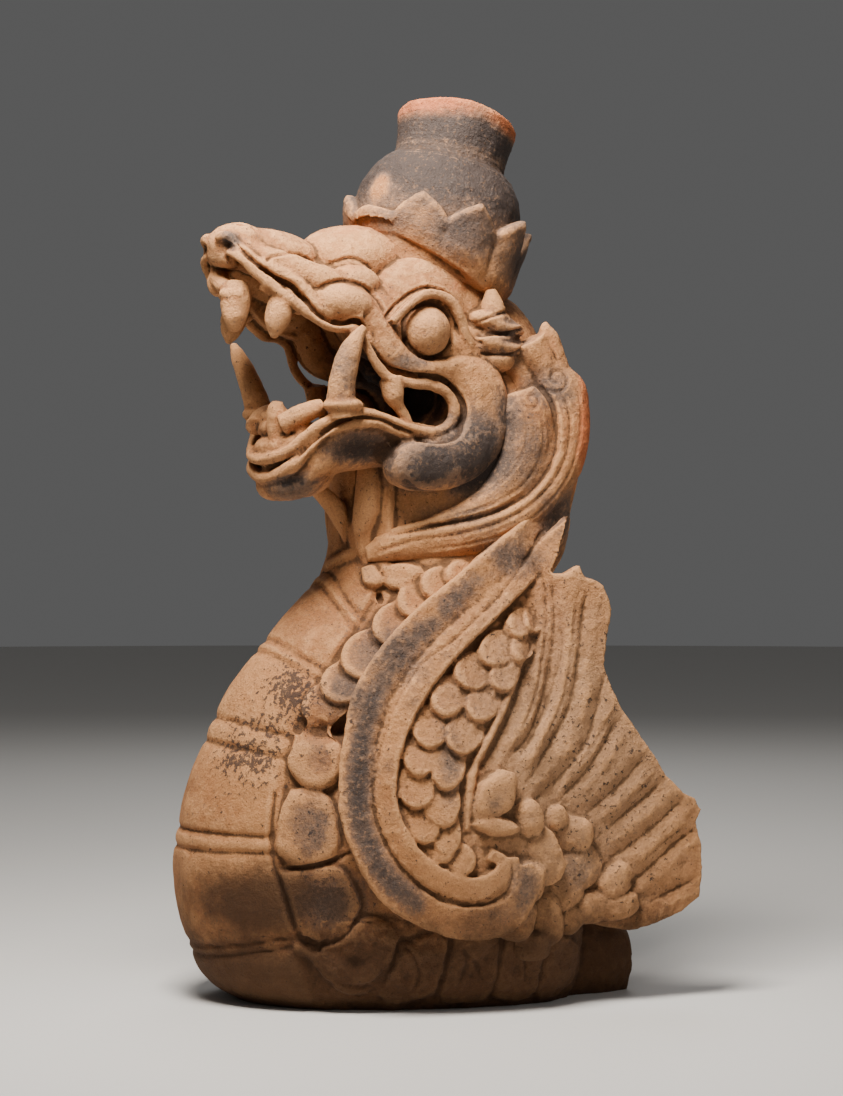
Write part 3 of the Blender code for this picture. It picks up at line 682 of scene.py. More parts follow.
# %% Arms, coverts and the elbow
OUTER_ARM = (
    (72, 306, 6, 6, 0), (56, 292, 9, 9, 1), (36, 274, 10.5, 11, 1.5), (14, 255, 11, 12, 2),
    (-22, 226, 10.5, 12.5, 3), (-52, 194, 10.5, 13, 3), (-64, 167, 10.5, 13, 3), (-70, 138, 10, 13, 3),
    (-69, 110, 10, 13, 3), (-56, 82, 10, 13, 3), (-39, 67, 10, 13.5, 2.5), (-11, 56, 10, 14, 1.5),
    (13, 59, 9.5, 13.5, 1), (25, 73, 8, 12, 0), (24, 88, 6, 9, 0),
)
INNER_ARM = (
    (76, 288, 5, 5, 0), (57, 275, 7, 8, 0), (41, 260, 8, 10.5, -1), (16, 237, 8, 11.5, -1),
    (-16, 209, 8, 11.5, -1), (-38, 182, 8, 11.5, -1), (-53, 148, 7.5, 11.5, -1), (-55, 120, 7.5, 11.5, -1),
    (-44, 95, 7.5, 11.5, -1), (-26, 81, 7, 11.5, 0), (-6, 75, 6.5, 12, 0), (8, 80, 5.5, 11, 0),
    (12, 89, 4, 9, 0), (4, 94, 3.5, 7, 0),
)
ARM_GROOVE = (
    (53, 284), (40, 265), (21, 245), (4, 231), (-12, 218), (-30, 206), (-44, 189), (-54, 170),
    (-62, 146), (-64, 122), (-56, 98), (-41, 80), (-22, 67), (-4, 65), (10, 69), (17, 79), (17, 92),
)
SHAFTS = (
    ((44, 236, 2.2, 5), (35, 217, 2.6, 5), (19, 194, 2.8, 5), (2, 173, 2.8, 5), (-9, 154, 2.8, 5),
     (-15, 135, 2.6, 5), (-16, 122, 2.4, 5), (-14, 108, 2, 4)),
    ((44, 230, 2, 4.5), (38, 216, 2.4, 5), (25, 191, 2.6, 5), (11, 165, 2.6, 5), (-2, 145, 2.6, 5),
     (-7, 128, 2.4, 5), (-9, 108, 2, 4)),
)
COVERTS = (
    (33, 226, 17, 24), (18, 212, 21, 30), (2, 199, 23, 28), (-14, 185, 21, 30), (-26, 168, 22, 29),
    (-34, 152, 20, 28), (-38, 134, 22, 27), (-37, 115, 21, 30), (-29, 100, 20, 25), (-15, 92, 19, 21),
)
SECOND_COVERTS = (
    (41, 228, 14, 22), (33, 212, 16, 26), (21, 197, 19, 29), (6, 182, 20, 31), (-7, 164, 22, 31),
    (-18, 147, 21, 34), (-24, 127, 23, 34), (-22, 108, 19, 28),
)
CLUSTER = (
    (30, 114, 17, 22, 10), (61, 103, 29, 21, -15), (40, 91, 23, 34, 20), (68, 83, 28, 27, 30),
    (29, 77, 21, 25, -10), (56, 70, 24, 24, 35), (75, 58, 23, 20, 10), (22, 56, 24, 28, -15),
    (43, 53, 21, 32, 10), (90, 73, 25, 20, 30), (92, 58, 28, 16, 10), (34, 38, 22, 18, 0),
    (60, 52, 18, 18, 40), (50, 113, 16, 15, 20),
)
COVERT_THICKNESS, PEBBLE_THICKNESS = 15, 15
FAN_FACE, SPREAD_START, SPREAD_LENGTH = 84, 28, 42


def web_face(flank, y, z):
    """How far out the wing's plate lies: on the flank in front, and spread away from it behind."""
    near = abs(flank.at(min(y, 50), z)[0].x) + 4
    far = FAN_FACE - 0.05 * (y - 60) - 0.1 * max(z - 150, 0)
    t = min(max((y - SPREAD_START) / SPREAD_LENGTH, 0), 1)
    t = t * t * (3 - 2 * t)
    return near + (far - near) * t


def wing_forms(flank, detailed):
    """All of a wing that lies on its plate."""
    wide = [(y, z, 7, 9, 0) for y, z in ARM_GROOVE[:11]]
    narrow = [(y, z, 5, 9, 0) for y, z in ARM_GROOVE[9:]]
    for points in (OUTER_ARM, INNER_ARM, wide, narrow):
        laid_band(flank, points)
    for points in SHAFTS:
        laid_roll(flank, points)
    scale_row(flank, COVERTS, COVERT_THICKNESS, lift=3.2)
    scale_row(flank, SECOND_COVERTS, COVERT_THICKNESS, lift=3.6)
    side = flank.side
    for y, z, width, height, turned in CLUSTER if detailed else CLUSTER[::2]:
        turn = Matrix.Rotation(math.radians(turned), 4, "X") @ Matrix.Rotation(math.radians(turned / 3), 4, "Z")
        size = Matrix.Diagonal((PEBBLE_THICKNESS * MM, width * MM, height * MM, 1))
        place = (side * (web_face(flank, y, z) - 1), y, z)
        keep(linked("pebble", pebble.data.copy()), TRUNK, place, turn @ size)
    if detailed:
        face = web_face(flank, 10, 127)
        roll(TRUNK, [(face, -2, 114, 5), (face + 1, 3, 121, 9), (face + 2, 9, 128, 12), (face + 1, 14, 136, 9),
                     (face, 16, 142, 5)])
        lump(TRUNK, (face, 9, 110), (13, 15, 6), pitch=-8)


print("an arm has", len(OUTER_ARM), "points chosen by hand")

# %% [markdown]
# The wing's plate is one slab of clay, laid on the flank in front and standing free as a fan behind. Its
# outline is drawn flat, with the ragged edge where the feather tips broke away, and filled. Bisect cuts
# it into a grid, so that it can bend, and an extrude gives its thickness. Its points are then moved out
# to the flank or to the fan's own plane. The feathers are scored into its outer face.

# %% The wing's plate
FAN_EDGE = (
    (66, 292), (40, 268), (14, 248), (-22, 220), (-50, 190), (-62, 166), (-70, 138), (-70, 110),
    (-56, 84), (-40, 70), (-11, 60), (12, 58), (30, 56), (48, 52), (66, 50), (84, 46), (101, 43),
    (117, 46), (135, 53), (147, 61), (149, 79), (148, 93), (145, 107), (148, 114), (144, 121),
    (136, 124), (124, 137), (115, 150), (108, 161), (99, 172), (94, 180), (90, 190), (86, 203),
    (88, 218), (92, 236), (87, 250), (83, 253), (75, 255), (72, 262), (63, 257), (55, 258), (60, 270),
)
FEATHER_LINES = (
    ((46, 236), (41, 219), (34, 200), (23, 176), (10, 156), (0, 142)),
    ((55, 257), (56, 240), (55, 220), (50, 196), (43, 177), (31, 159), (17, 148)),
    ((60, 236), (60, 214), (55, 196), (46, 175), (35, 159), (22, 146)),
    ((77, 252), (73, 232), (70, 212), (67, 194), (62, 177), (54, 163), (43, 149), (29, 133)),
    ((87, 200), (83, 186), (78, 170), (73, 158), (61, 142), (46, 129), (32, 124)),
    ((98, 174), (89, 163), (79, 148), (66, 133), (50, 120)),
    ((113, 151), (102, 138), (87, 125), (70, 112)),
    ((125, 136), (114, 125), (102, 116), (84, 103)),
    ((138, 123), (129, 115), (118, 106), (96, 91), (84, 86)),
    ((147, 104), (131, 94), (108, 76), (94, 68)),
    ((147, 74), (130, 66), (112, 58)),
)
FAN_THICKNESS, GRID = 12, 5


def fan(flank):
    """One wing's plate as a slab in the heap."""
    mesh = bpy.data.meshes.new("fan")
    outline = [(0, y * MM, z * MM) for y, z in FAN_EDGE]
    mesh.from_pydata(outline, [], [tuple(range(len(outline)))])
    slab = linked("fan", mesh)
    edit(slab)
    for y in range(-70, 150, GRID):
        bpy.ops.mesh.select_all(action="SELECT")
        bpy.ops.mesh.bisect(plane_co=(0, y * MM, 0), plane_no=(0, 1, 0))
    for z in range(45, 290, GRID):
        bpy.ops.mesh.select_all(action="SELECT")
        bpy.ops.mesh.bisect(plane_co=(0, 0, z * MM), plane_no=(0, 0, 1))
    bpy.ops.mesh.select_all(action="SELECT")
    bpy.ops.mesh.extrude_region_move(TRANSFORM_OT_translate={"value": (FAN_THICKNESS * MM, 0, 0)})
    bpy.ops.mesh.select_all(action="SELECT")
    bpy.ops.mesh.normals_make_consistent(inside=False)
    bpy.ops.object.mode_set(mode="OBJECT")
    for vertex in mesh.vertices:
        y, z = vertex.co.y / MM, vertex.co.z / MM
        out = min(max(math.hypot(y - 30, z - 110) - 40, 0) / 90, 1)
        back = 0 if vertex.co.x > 0 else FAN_THICKNESS * (1 - 0.25 * out)
        vertex.co.x = flank.side * (web_face(flank, y, z) - back) * MM
    return keep(slab, TRUNK)


def feather_relief(surface, side):
    """Feathers rounded between scored lines, on the outer face; the inner one stays plain."""
    for line in FEATHER_LINES:
        surface.score(line, 3.4, 1.3, side, inner=60, taper=14, bank=0.4)
        surface.score(line, 0.9, 0.35, side, inner=60, taper=8)
    for line in FEATHER_LINES[1::2]:
        surface.score([(y - 4.5, z + 3.5) for y, z in line[:-1]], 1.1, 0.6, side, inner=60, taper=12)


print("the fan's edge has", len(FAN_EDGE), "corners")

# %% [markdown]
# Each wing is melted by itself, the near one at a finer grain. The tool then draws a groove between the
# arm's two bands and scores the feathers.

# %% Melt and work the wings
for side, name, grain in ((1, "left_wing", 1.0), (-1, "right_wing", 1.3)):
    wing_forms(flanks[side], side > 0)
    fan(flanks[side])
    wing = melt(name, grain)
    surface = Surface(wing)
    surface.score(ARM_GROOVE, 1.1, 0.8, side, inner=30, bank=0.1)
    feather_relief(surface, side)
    surface.write()
    uneven(wing, ((22, 1.8), (7, 1.2), (3, 0.6)))
    close_piece(wing)

# %% [markdown]
# ## The mane
# Two locks of hair on each side sweep from a curl behind the ear, round the nape and forward to points
# on the throat, with a loose spike above them and a plain slab under them. They are broad flat strands,
# so each is a ribbon between two edges. Six wavy strands hang down the nape. The hair is drawn in with
# lines along the locks, and each curl ends in a small incised spiral.

# %% The locks
LOCKS = (
    ((34, 366, 52, 372, 54, 20), (32, 356, 61, 362, 58, 24), (32, 342, 62, 342, 60, 26),
     (27, 326, 58, 322, 60, 26), (16, 310, 47, 307, 60, 26), (-1, 299, 30, 296, 60, 24),
     (-19, 291, 8, 289, 58, 22), (-36, 284, -15, 284, 52, 18), (-47, 279, -40, 279, 44, 12)),
    ((52, 378, 68, 389, 52, 24), (55, 368, 84, 376, 55, 26), (56, 352, 88, 357, 57, 28),
     (55, 338, 87, 337, 58, 28), (50, 326, 80, 316, 59, 28), (41, 313, 65, 298, 60, 28),
     (27, 303, 44, 280, 61, 26), (6, 296, 21, 270, 61, 24), (-16, 290, -6, 265, 58, 22),
     (-38, 284, -36, 265, 52, 18), (-53, 273, -52, 264, 42, 10)),
    ((56, 384, 75, 384, 52, 18), (53, 395, 71, 396, 51, 15), (55, 403, 67, 404, 50, 11),
     (58, 410, 60, 411, 48, 5)),
    ((30, 390, 60, 392, 44, 30), (38, 370, 74, 376, 46, 30), (44, 340, 80, 344, 48, 30),
     (40, 310, 78, 314, 48, 30), (36, 286, 79, 292, 47, 28), (40, 268, 76, 272, 44, 24),
     (48, 256, 70, 258, 38, 18)),
)
NAPE = ((62, 400, 10), (78, 372, 11), (83, 338, 11), (78, 302, 10), (69, 268, 7), (64, 252, 3))
NAPE_STRANDS = ((-42, -12), (-26, -4), (-9, 0), (9, -1), (26, -4), (42, -12))       # x and what y gains
HAIR_LINES = (
    (((54, 372), (61, 360), (63, 346), (61, 330), (52, 314), (38, 302), (18, 293), (-10, 287), (-42, 281)),
     1.4, 1.8),
    (((68, 366), (71, 350), (69, 332), (61, 315), (46, 300), (26, 289), (2, 282), (-28, 277), (-48, 271)),
     1.1, 0.7),
    (((76, 372), (79, 354), (76, 334), (68, 314), (52, 296), (32, 283), (8, 276), (-20, 272)), 0.9, 0.5),
    (((52, 352), (54, 338), (49, 322), (36, 308), (16, 298), (-8, 291), (-30, 286)), 1.0, 0.5),
    (((42, 356), (43, 342), (38, 326), (26, 312), (8, 302)), 0.8, 0.35),
    (((60, 396), (64, 390), (66, 384)), 0.8, 0.6),
)


def spiral(y, z, radius, start, turns=1.3):
    """A spiral line, from its outer end in; start is an angle in degrees."""
    points = []
    for i in range(14):
        share = i / 13
        angle = math.radians(start) + share * turns * 2 * math.pi
        points.append((y + radius * (1 - 0.85 * share) * math.cos(angle),
                       z + radius * (1 - 0.85 * share) * math.sin(angle)))
    return points


for side in (1, -1):
    for lock in LOCKS:
        ribbon(TRUNK, side, lock)
for x, forward in NAPE_STRANDS:
    roll(TRUNK, [(x + 2 * math.sin(z / 14 + x), y + forward, z, radius) for y, z, radius in NAPE])
mane = melt("mane", 1.05)
surface = Surface(mane)
for side in (1, -1):
    for line, width, depth in HAIR_LINES:
        surface.score(line, width, depth, side, inner=20)
    surface.score(spiral(64, 376, 9, start=200), 1.0, 0.8, side, inner=30)
    surface.score(spiral(47, 363, 6.5, start=150), 1.0, 0.7, side, inner=30)
surface.write()
uneven(mane, ((30, 1.4), (7, 0.8), (3, 0.3)))
close_piece(mane)

# %% [markdown]
# ## The head
# The head is built over a skull of lumps: the crown of the skull, the brows over the eyes, a domed
# forehead, and the snout with its nostril wings. The upper jaw is an arch of clay, open below, and the
# lower one a trough. An arch and a trough have no primitive, so both are lofted from cross-sections.

# %% Skull and jaws
UPPER_JAW = (
    (-20, 45, 436, 392), (-50, 46, 440, 398), (-80, 44, 443, 402), (-100, 39, 447, 408),
    (-117, 33, 454, 420), (-132, 27, 459, 433), (-141, 22, 462, 443), (-147, 16, 461, 449),
    (-151, 10, 456, 452),
)
LOWER_JAW = (
    (10, 42, 340, 318), (-20, 44, 346, 319), (-60, 46, 350, 320), (-88, 44, 350, 314),
    (-100, 38, 344, 306), (-106, 30, 335, 301), (-111, 20, 327, 305),
)
JAW_WALL, LOWER_WALL, TROUGH_DEPTH = 10, 7, 9


def arch(half, top, lip):
    """The cross-section of the upper jaw as rows of x and z, open below."""
    angle = np.linspace(0, math.pi, 24)
    bow = squarer(np.cos(angle), 0.8)
    up = np.sin(angle) ** 0.9
    outer = np.stack([half * bow, lip + (top - lip) * up], axis=1)
    inner = np.stack([(half - JAW_WALL) * bow, lip + (top - lip - JAW_WALL * 1.3) * up], axis=1)
    return np.vstack([outer, inner[::-1]])


def trough(half, lip, keel):
    """The cross-section of the lower jaw as rows of x and z, open above."""
    angle = np.linspace(0, math.pi, 28)
    outer = np.stack([half * squarer(np.cos(angle), 0.55), lip - (lip - keel) * np.sin(angle) ** 0.8], axis=1)
    angle = np.linspace(0, math.pi, 18)[1:-1]
    inner = np.stack([-(half - LOWER_WALL) * np.cos(angle), lip - TROUGH_DEPTH * np.sin(angle) ** 0.7], axis=1)
    return np.vstack([outer, inner])


def with_y(section, y):
    """A cross-section set at its y."""
    return np.insert(section, 1, y, axis=1)


skin(HEAD, [with_y(arch(half, top, lip), y) for y, half, top, lip in curve_through(UPPER_JAW, 60)])
skin(HEAD, [with_y(trough(half, lip, keel), y) for y, half, lip, keel in curve_through(LOWER_JAW, 50)])
lump(HEAD, (0, -8, 416), (46, 58, 34))
lump(HEAD, (0, 36, 380), (46, 38, 54))
lump(HEAD, (0, 28, 360), (46, 34, 50))
lump(HEAD, (0, -57, 446), (30, 38, 23))
lump(HEAD, (0, -30, 440), (30, 24, 24))
for side in (-1, 1):
    lump(HEAD, (side * 28, -25, 417), (21, 37, 33))
    lump(HEAD, (side * 26, 4, 393), (26, 44, 24))
    lump(HEAD, (side * 34, 30, 352), (18, 22, 38))
print("skull and jaws:", len(heap), "forms")

# %% [markdown]
# The snout's skin ends in a hooked nose and hangs over the lips like a blanket. Three rounded masses
# sit along it: a long fold beside the nose, a small dome, and the nostril wing above the tusk. From
# that wing a smooth cheek sweeps down in the shape of an S and hooks forward under the corner of the
# mouth, where it ends in a blackened lobe. The lips are two bands of rolled clay that follow it.

# %% Snout, cheeks and lips
LIP = (
    (13, -149, 447, 2.6), (22, -146, 443, 3), (29, -134, 430, 3.2), (34, -120, 419, 3.2),
    (38, -107, 410, 3.2), (42, -95, 403, 3), (45, -84, 402, 3), (47, -75, 397, 3), (48, -70, 384, 3),
    (48, -60, 374, 3), (48, -44, 371, 3), (48, -28, 370, 3.2), (48, -17, 364, 3.4), (48, -14, 355, 3.4),
    (48, -19, 346, 3.4), (48, -31, 342, 3.4), (48, -48, 345, 3.2), (47, -63, 350, 3.2),
    (45, -78, 353, 3.4), (43, -90, 351, 3.2), (39, -100, 346, 3.2), (32, -107, 339, 3.2),
    (24, -113, 331, 3.4), (12, -118, 327, 3.4), (0, -119, 326, 3.4),
)
LOWER_BAND = (
    (46, -40, 339, 3), (47, -54, 341, 3), (46, -66, 346, 3), (45, -80, 346, 3), (43, -92, 343, 3),
    (38, -100, 338, 3), (31, -106, 330, 3.4), (24, -112, 321, 4), (10, -115, 316, 4), (0, -116, 315, 4),
)
SKIN_EDGE = (
    (6, -152, 456, 3.4), (15, -149, 455, 3.6), (21, -144, 448, 3.6), (25, -137, 441, 3.6),
    (29, -128, 437, 3.8), (33, -118, 431, 4), (36, -110, 424, 4), (39, -105, 417, 4), (42, -97, 413, 4.5),
    (43, -86, 413, 5.5), (44, -77, 412, 6.5),
)
CHEEK = (
    (-84, 407, -72, 424, 47, 18), (-75, 401, -56, 407, 49, 20), (-68, 388, -46, 394, 51, 22),
    (-57, 379, -33, 387, 52, 24), (-45, 376, -20, 387, 53, 24), (-32, 374, -4, 391, 54, 26),
    (-20, 371, 9, 389, 55, 28), (-13, 364, 20, 379, 57, 30), (-11, 356, 25, 363, 58, 31),
    (-12, 349, 25, 347, 59, 32), (-18, 343, 18, 331, 60, 32), (-28, 339, 4, 317, 60, 32),
    (-40, 338, -15, 309, 60, 30), (-50, 337, -37, 307, 59, 28), (-57, 333, -53, 311, 57, 24),
    (-60, 327, -59, 319, 52, 14),
)
CHIN = ((22, -84, 334, 6), (22, -93, 324, 8.5), (18, -101, 314, 10), (10, -106, 311, 10), (0, -107, 312, 10))

roll(HEAD, [(-17, -137, 446, 7), (-9, -143, 448, 8), (0, -145, 447, 8.5), (10, -144, 445, 7)])
roll(HEAD, [(-16, -137, 444, 6), (-13, -141, 435, 6), (0, -145, 428, 5), (12, -143, 425, 5)])
lump(HEAD, (0, -94, 320), (27, 20, 17))
roll(HEAD, [(x, -113 + abs(x) * 0.36, 320.5 + abs(x) * 0.4, 4.4) for x in (-27, -20, -10, 0, 10, 20, 27)])
lump(HEAD, (0, -136, 452), (19, 18, 14))
lump(HEAD, (0, -112, 448), (21, 32, 15), pitch=-8)
lump(HEAD, (-14, -142, 431), (6, 6, 8))
for side in (-1, 1):
    roll(HEAD, [(side * 15, -138, 447, 7), (side * 21, -124, 441, 9), (side * 27, -106, 433, 10.5),
                (side * 30, -90, 429, 10), (side * 26, -74, 430, 7)])
    lump(HEAD, (side * 37, -85, 417), (14, 21, 12), pitch=-8)
    lump(HEAD, (side * 26, -72, 430), (14, 18, 12))
    for strip in (LIP, LOWER_BAND, SKIN_EDGE, CHIN):
        roll(HEAD, [(side * x, y, z, radius) for x, y, z, radius in strip])
    ribbon(HEAD, side, CHEEK, count=90)
print("snout, cheeks and lips:", len(heap), "forms")

# %% [markdown]
# The eye is a ball under a thick lid, which is one roll bent over it. The tusks rise from gum rings in
# the lower jaw and splay outwards, and the right one leans further. The fangs hang from the upper jaw,
# one behind the corner of the mouth. Where an ear would be there is a small horn over a collar and a
# bowl-shaped leaf.

# %% Eyes, teeth and ears
EYE, SOCKET = (43, -32, 403), 16.4
LID = (
    (49, -58, 407, 2.8), (51, -49, 416, 3), (51, -39, 423, 3.1), (51, -29, 425, 3.1),
    (51, -18, 420.5, 3.1), (51, -11, 411, 3), (50, -6, 400, 2.8), (49, 0, 392, 2.6), (47, 8, 391, 2.0),
)
TUSKS = (
    ((44, -89, 350, 8.6), (45, -91, 362, 8.4), (47, -90, 376, 8), (49, -86, 390, 6.4), (51, -81, 400, 3.4),
     (52, -79, 403, 2)),
    ((-43, -96, 348, 8.6), (-45, -98, 362, 8), (-49, -102, 377, 7), (-55, -105, 390, 5), (-60, -107, 399, 2)),
)
FRONT_FANG = ((11, -141, 430, 6.5), (11, -142, 423, 8.5), (11, -143, 416, 9), (12, -144, 409, 7.5),
              (12, -144, 403, 5), (12, -144, 400, 2.5))
SIDE_FANG = ((28, -121, 424, 7), (28, -123, 412, 8), (28, -125, 405, 7), (28, -126, 400, 4.5),
             (28, -127, 396, 1.5))
BACK_TOOTH = ((45, -57, 374, 7), (46, -55, 364, 6.5), (46, -52, 358, 4), (46, -48, 352, 3.4),
              (46, -45, 346, 3))

for side in (-1, 1):
    x, y, z = EYE
    lump(HEAD, (side * x, y, z), (16, 15.6, 15.6))
    lump(HEAD, (side * (x + 14.6), y + 1, z - 0.5), (1.7, 2.2, 2.2))
    for strip in (LID, SIDE_FANG, BACK_TOOTH):
        roll(HEAD, [(side * px, py, pz, radius) for px, py, pz, radius in strip])
    roll(HEAD, [(side * 26, -134, 428, 3.5), (side * 29, -122, 421, 4), (side * 33, -110, 412, 3.5)])
    roll(HEAD, [(side * 30, -94, 357, 5), (side * 25, -106, 352, 6), (side * 17, -115, 346, 6)])
    roll(HEAD, [(side * 46, 14, 404, 9), (side * 48, 14, 414, 8.5), (side * 49, 13, 422, 6.5),
                (side * 49, 12, 430, 3)])
    for hollow_y, hollow_z, tilt in ((17, 409, -14), (18, 397, -6)):
        lump(HEAD, (side * 48, hollow_y, hollow_z), (11, 19, 7.5), pitch=tilt)
    lump(HEAD, (side * 48, 18, 388), (8, 11, 8), pitch=-10)
for tusk in TUSKS:
    roll(HEAD, tusk)
    x, y, z, radius = tusk[0]
    lump(HEAD, (x, y, z + 7), (radius + 2.6, radius + 3.4, 5))
roll(HEAD, FRONT_FANG)
roll(HEAD, [(3, -144, 424, 3.4), (11, -149, 422, 3.8), (19, -142, 422, 3.4)])
roll(HEAD, [(8, -110, 338, 8), (8, -112, 348, 7.5), (9, -114, 355, 6), (10, -114, 360, 3)])
roll(HEAD, [(22, -104, 342, 5.5), (22, -106, 349, 4.5), (22, -107, 353, 2.5)])
roll(HEAD, [(-12, -108, 342, 7), (-12, -109, 350, 5), (-12, -110, 355, 3)])
roll(HEAD, [(-24, -100, 346, 4.5), (-10, -111, 345, 4.5), (10, -112, 345, 5), (22, -106, 346, 4.5)])
roll(HEAD, [(-26, -98, 334, 6), (-10, -111, 333, 7), (10, -112, 333, 7), (26, -103, 336, 6)])
head = melt("head", 1.1)
print("head:", len(head.data.polygons), "faces before thinning")

# %% [markdown]
# Lines make the head: the dark seam under the skin's edge, the seam between the two lip bands, the
# crease under the brow and beside the nose, the gap all round the eyeball, and the tool's spiral on the
# eyeball itself. A hollow is pressed into the side of the lower jaw.

# %% Work the head's skin
HEAD_LINES = (
    # Under the edge of the snout's skin and the cheek.
    (((-148, 452), (-144, 445), (-136, 437), (-127, 431), (-119, 427), (-112, 419), (-106, 411), (-98, 406),
      (-90, 405), (-82, 407), (-77, 404), (-72, 394), (-66, 385), (-57, 379), (-46, 376.5), (-34, 376),
      (-22, 373.5), (-13, 366), (-9, 356), (-12, 346), (-19, 339), (-31, 336.5), (-44, 338)), 1.1, 2.6),
    # Between the two lip bands below.
    (((-42, 341), (-54, 344.5), (-66, 349), (-79, 350), (-91, 347.5), (-99, 342), (-106, 334), (-113, 325)),
     1.0, 2.2),
    # Brow crease, fold of the nose, and round the small dome.
    (((-62, 408), (-52, 418), (-40, 427), (-29, 429), (-17, 425), (-8, 414), (-3, 402), (4, 395)), 0.9, 1.8),
    (((-134, 440), (-127, 444), (-116, 446.5), (-102, 446), (-90, 441), (-82, 438)), 0.9, 1.4),
    (((-104, 424), (-96, 429), (-84, 431), (-72, 428), (-64, 421), (-60, 412)), 1.1, 1.6),
    (((-88, 441), (-74, 446), (-62, 441), (-55, 430)), 1.0, 1.2),
    # Ear: under the horn and under its collar.
    (((0, 409), (8, 413), (18, 416), (30, 418)), 0.9, 1.4),
    (((-1, 401), (8, 402.5), (20, 403.5), (34, 407)), 1.1, 2.0),
    (((2, 391), (12, 390), (24, 391), (34, 396)), 1.0, 1.6),
    # Lower edge of the blackened lobe.
    (((-54, 313), (-40, 307), (-22, 306), (-4, 311), (10, 321)), 1.2, 1.4),
)

surface = Surface(head, HEAD)
for side in (1, -1):
    for line, width, depth in HEAD_LINES:
        surface.score(line, width, depth, side, inner=8, bank=0.2)
    _x, y, z = EYE
    ring = [(y + SOCKET * math.cos(a), z + SOCKET * math.sin(a)) for a in np.linspace(0, 2 * math.pi, 25)]
    surface.score(ring, 1.0, 3.0, side, inner=30, taper=0, bank=0)
    surface.score(spiral(y, z, 9, start=150, turns=1.4), 1.0, 0.22, side, inner=40, bank=0)
    surface.dent((side * 44, -72, 330), (14, 24, 10), 5)
    for place in ((57, 24, 411), (58, 24, 399)):
        surface.dent((side * place[0], *place[1:]), (9, 9, 3), 2.6)
    surface.dent((side * 26, -147, 452), (14, 5, 5), 3)
for place in ((8, -138, 465), (12, -131, 463)):
    surface.dent(place, (2.2, 2.2, 4), 3)
surface.write()
uneven(head, ((24, 1.2), (8, 0.9), (3, 0.35)))
close_piece(head)

# %% [markdown]
# ## The crown
# The crown was thrown on a wheel like the neck of a jar, a bulb with an open cup on top, so here Spin
# is the right tool. Half of the outline, down the outside and back up inside the cup, is turned round
# the axis. Then the cup is pulled up more on one side, as the real one is, and the whole is leaned back
# with the lifted head.

# %% Throw the crown
CROWN_FOOT, CROWN_LEAN = (0, -3, 449), -14.3
CROWN = HEAD @ Matrix.Translation(Vector(CROWN_FOOT) * MM) @ Matrix.Rotation(math.radians(CROWN_LEAN), 4, "X")
CUP_WALL, CUP_DEPTH = 6.5, 44
OUTSIDE = (
    (42, -14), (48, 2), (51, 16), (51.5, 30), (50.5, 40), (48, 48), (44.5, 54), (40.5, 59), (36.5, 61.8),
    (34.8, 63), (34.4, 67), (34.8, 72), (35.8, 80), (36.8, 86), (37.4, 89), (36.6, 90.6),
)
INSIDE = ((37.4 - CUP_WALL, 90.6), (36 - CUP_WALL, 84), (34.4 - CUP_WALL, 66), (26, 90 - CUP_DEPTH + 2),
          (14, 90 - CUP_DEPTH))
CREASE, RIM = 63, 90.6
RIM_SLANT, HIGH_SIDE = 0.19, math.radians(58)


def throw(outline):
    """A closed solid of revolution from rows of radius and height, spun in edit mode."""
    points = [(0, outline[0][1]), *outline, (0, outline[-1][1])]
    mesh = bpy.data.meshes.new("thrown")
    mesh.from_pydata([(r * MM, 0, s * MM) for r, s in points], [(i, i + 1) for i in range(len(points) - 1)], [])
    thrown = linked("thrown", mesh)
    edit(thrown)
    bpy.ops.mesh.spin(steps=120, angle=2 * math.pi, center=(0, 0, 0), axis=(0, 0, 1))
    bpy.ops.mesh.select_all(action="SELECT")
    bpy.ops.mesh.remove_doubles(threshold=0.00001)
    bpy.ops.mesh.normals_make_consistent(inside=False)
    bpy.ops.object.mode_set(mode="OBJECT")
    return thrown


crown = throw([*OUTSIDE, *INSIDE])
for vertex in crown.data.vertices:
    share = max(vertex.co.z / MM - CREASE, 0) / (RIM - CREASE)
    toward = vertex.co.x * math.sin(HIGH_SIDE) - vertex.co.y * math.cos(HIGH_SIDE)
    vertex.co.z += toward * RIM_SLANT * share
keep(crown, CROWN)
print("thrown crown:", len(crown.data.polygons), "faces")

# %% [markdown]
# A ring of ten petals was pressed round the bulb. Seen from the side their tips make a zigzag, with a
# seam running down from each notch. The ring is one closed loft whose section rises and falls, because
# neighbouring petals share an edge. The petal in front is broken to a stump, and those behind stand
# taller and further out. Faint rings round the cup are left from the throwing.

# %% Press the petals on
PETALS, FIRST_PETAL = 10, 13
PETAL_TIPS = (20, 31, 32, 33, 36, 36, 33, 32, 31, 31)
PETAL_NOTCH = 17


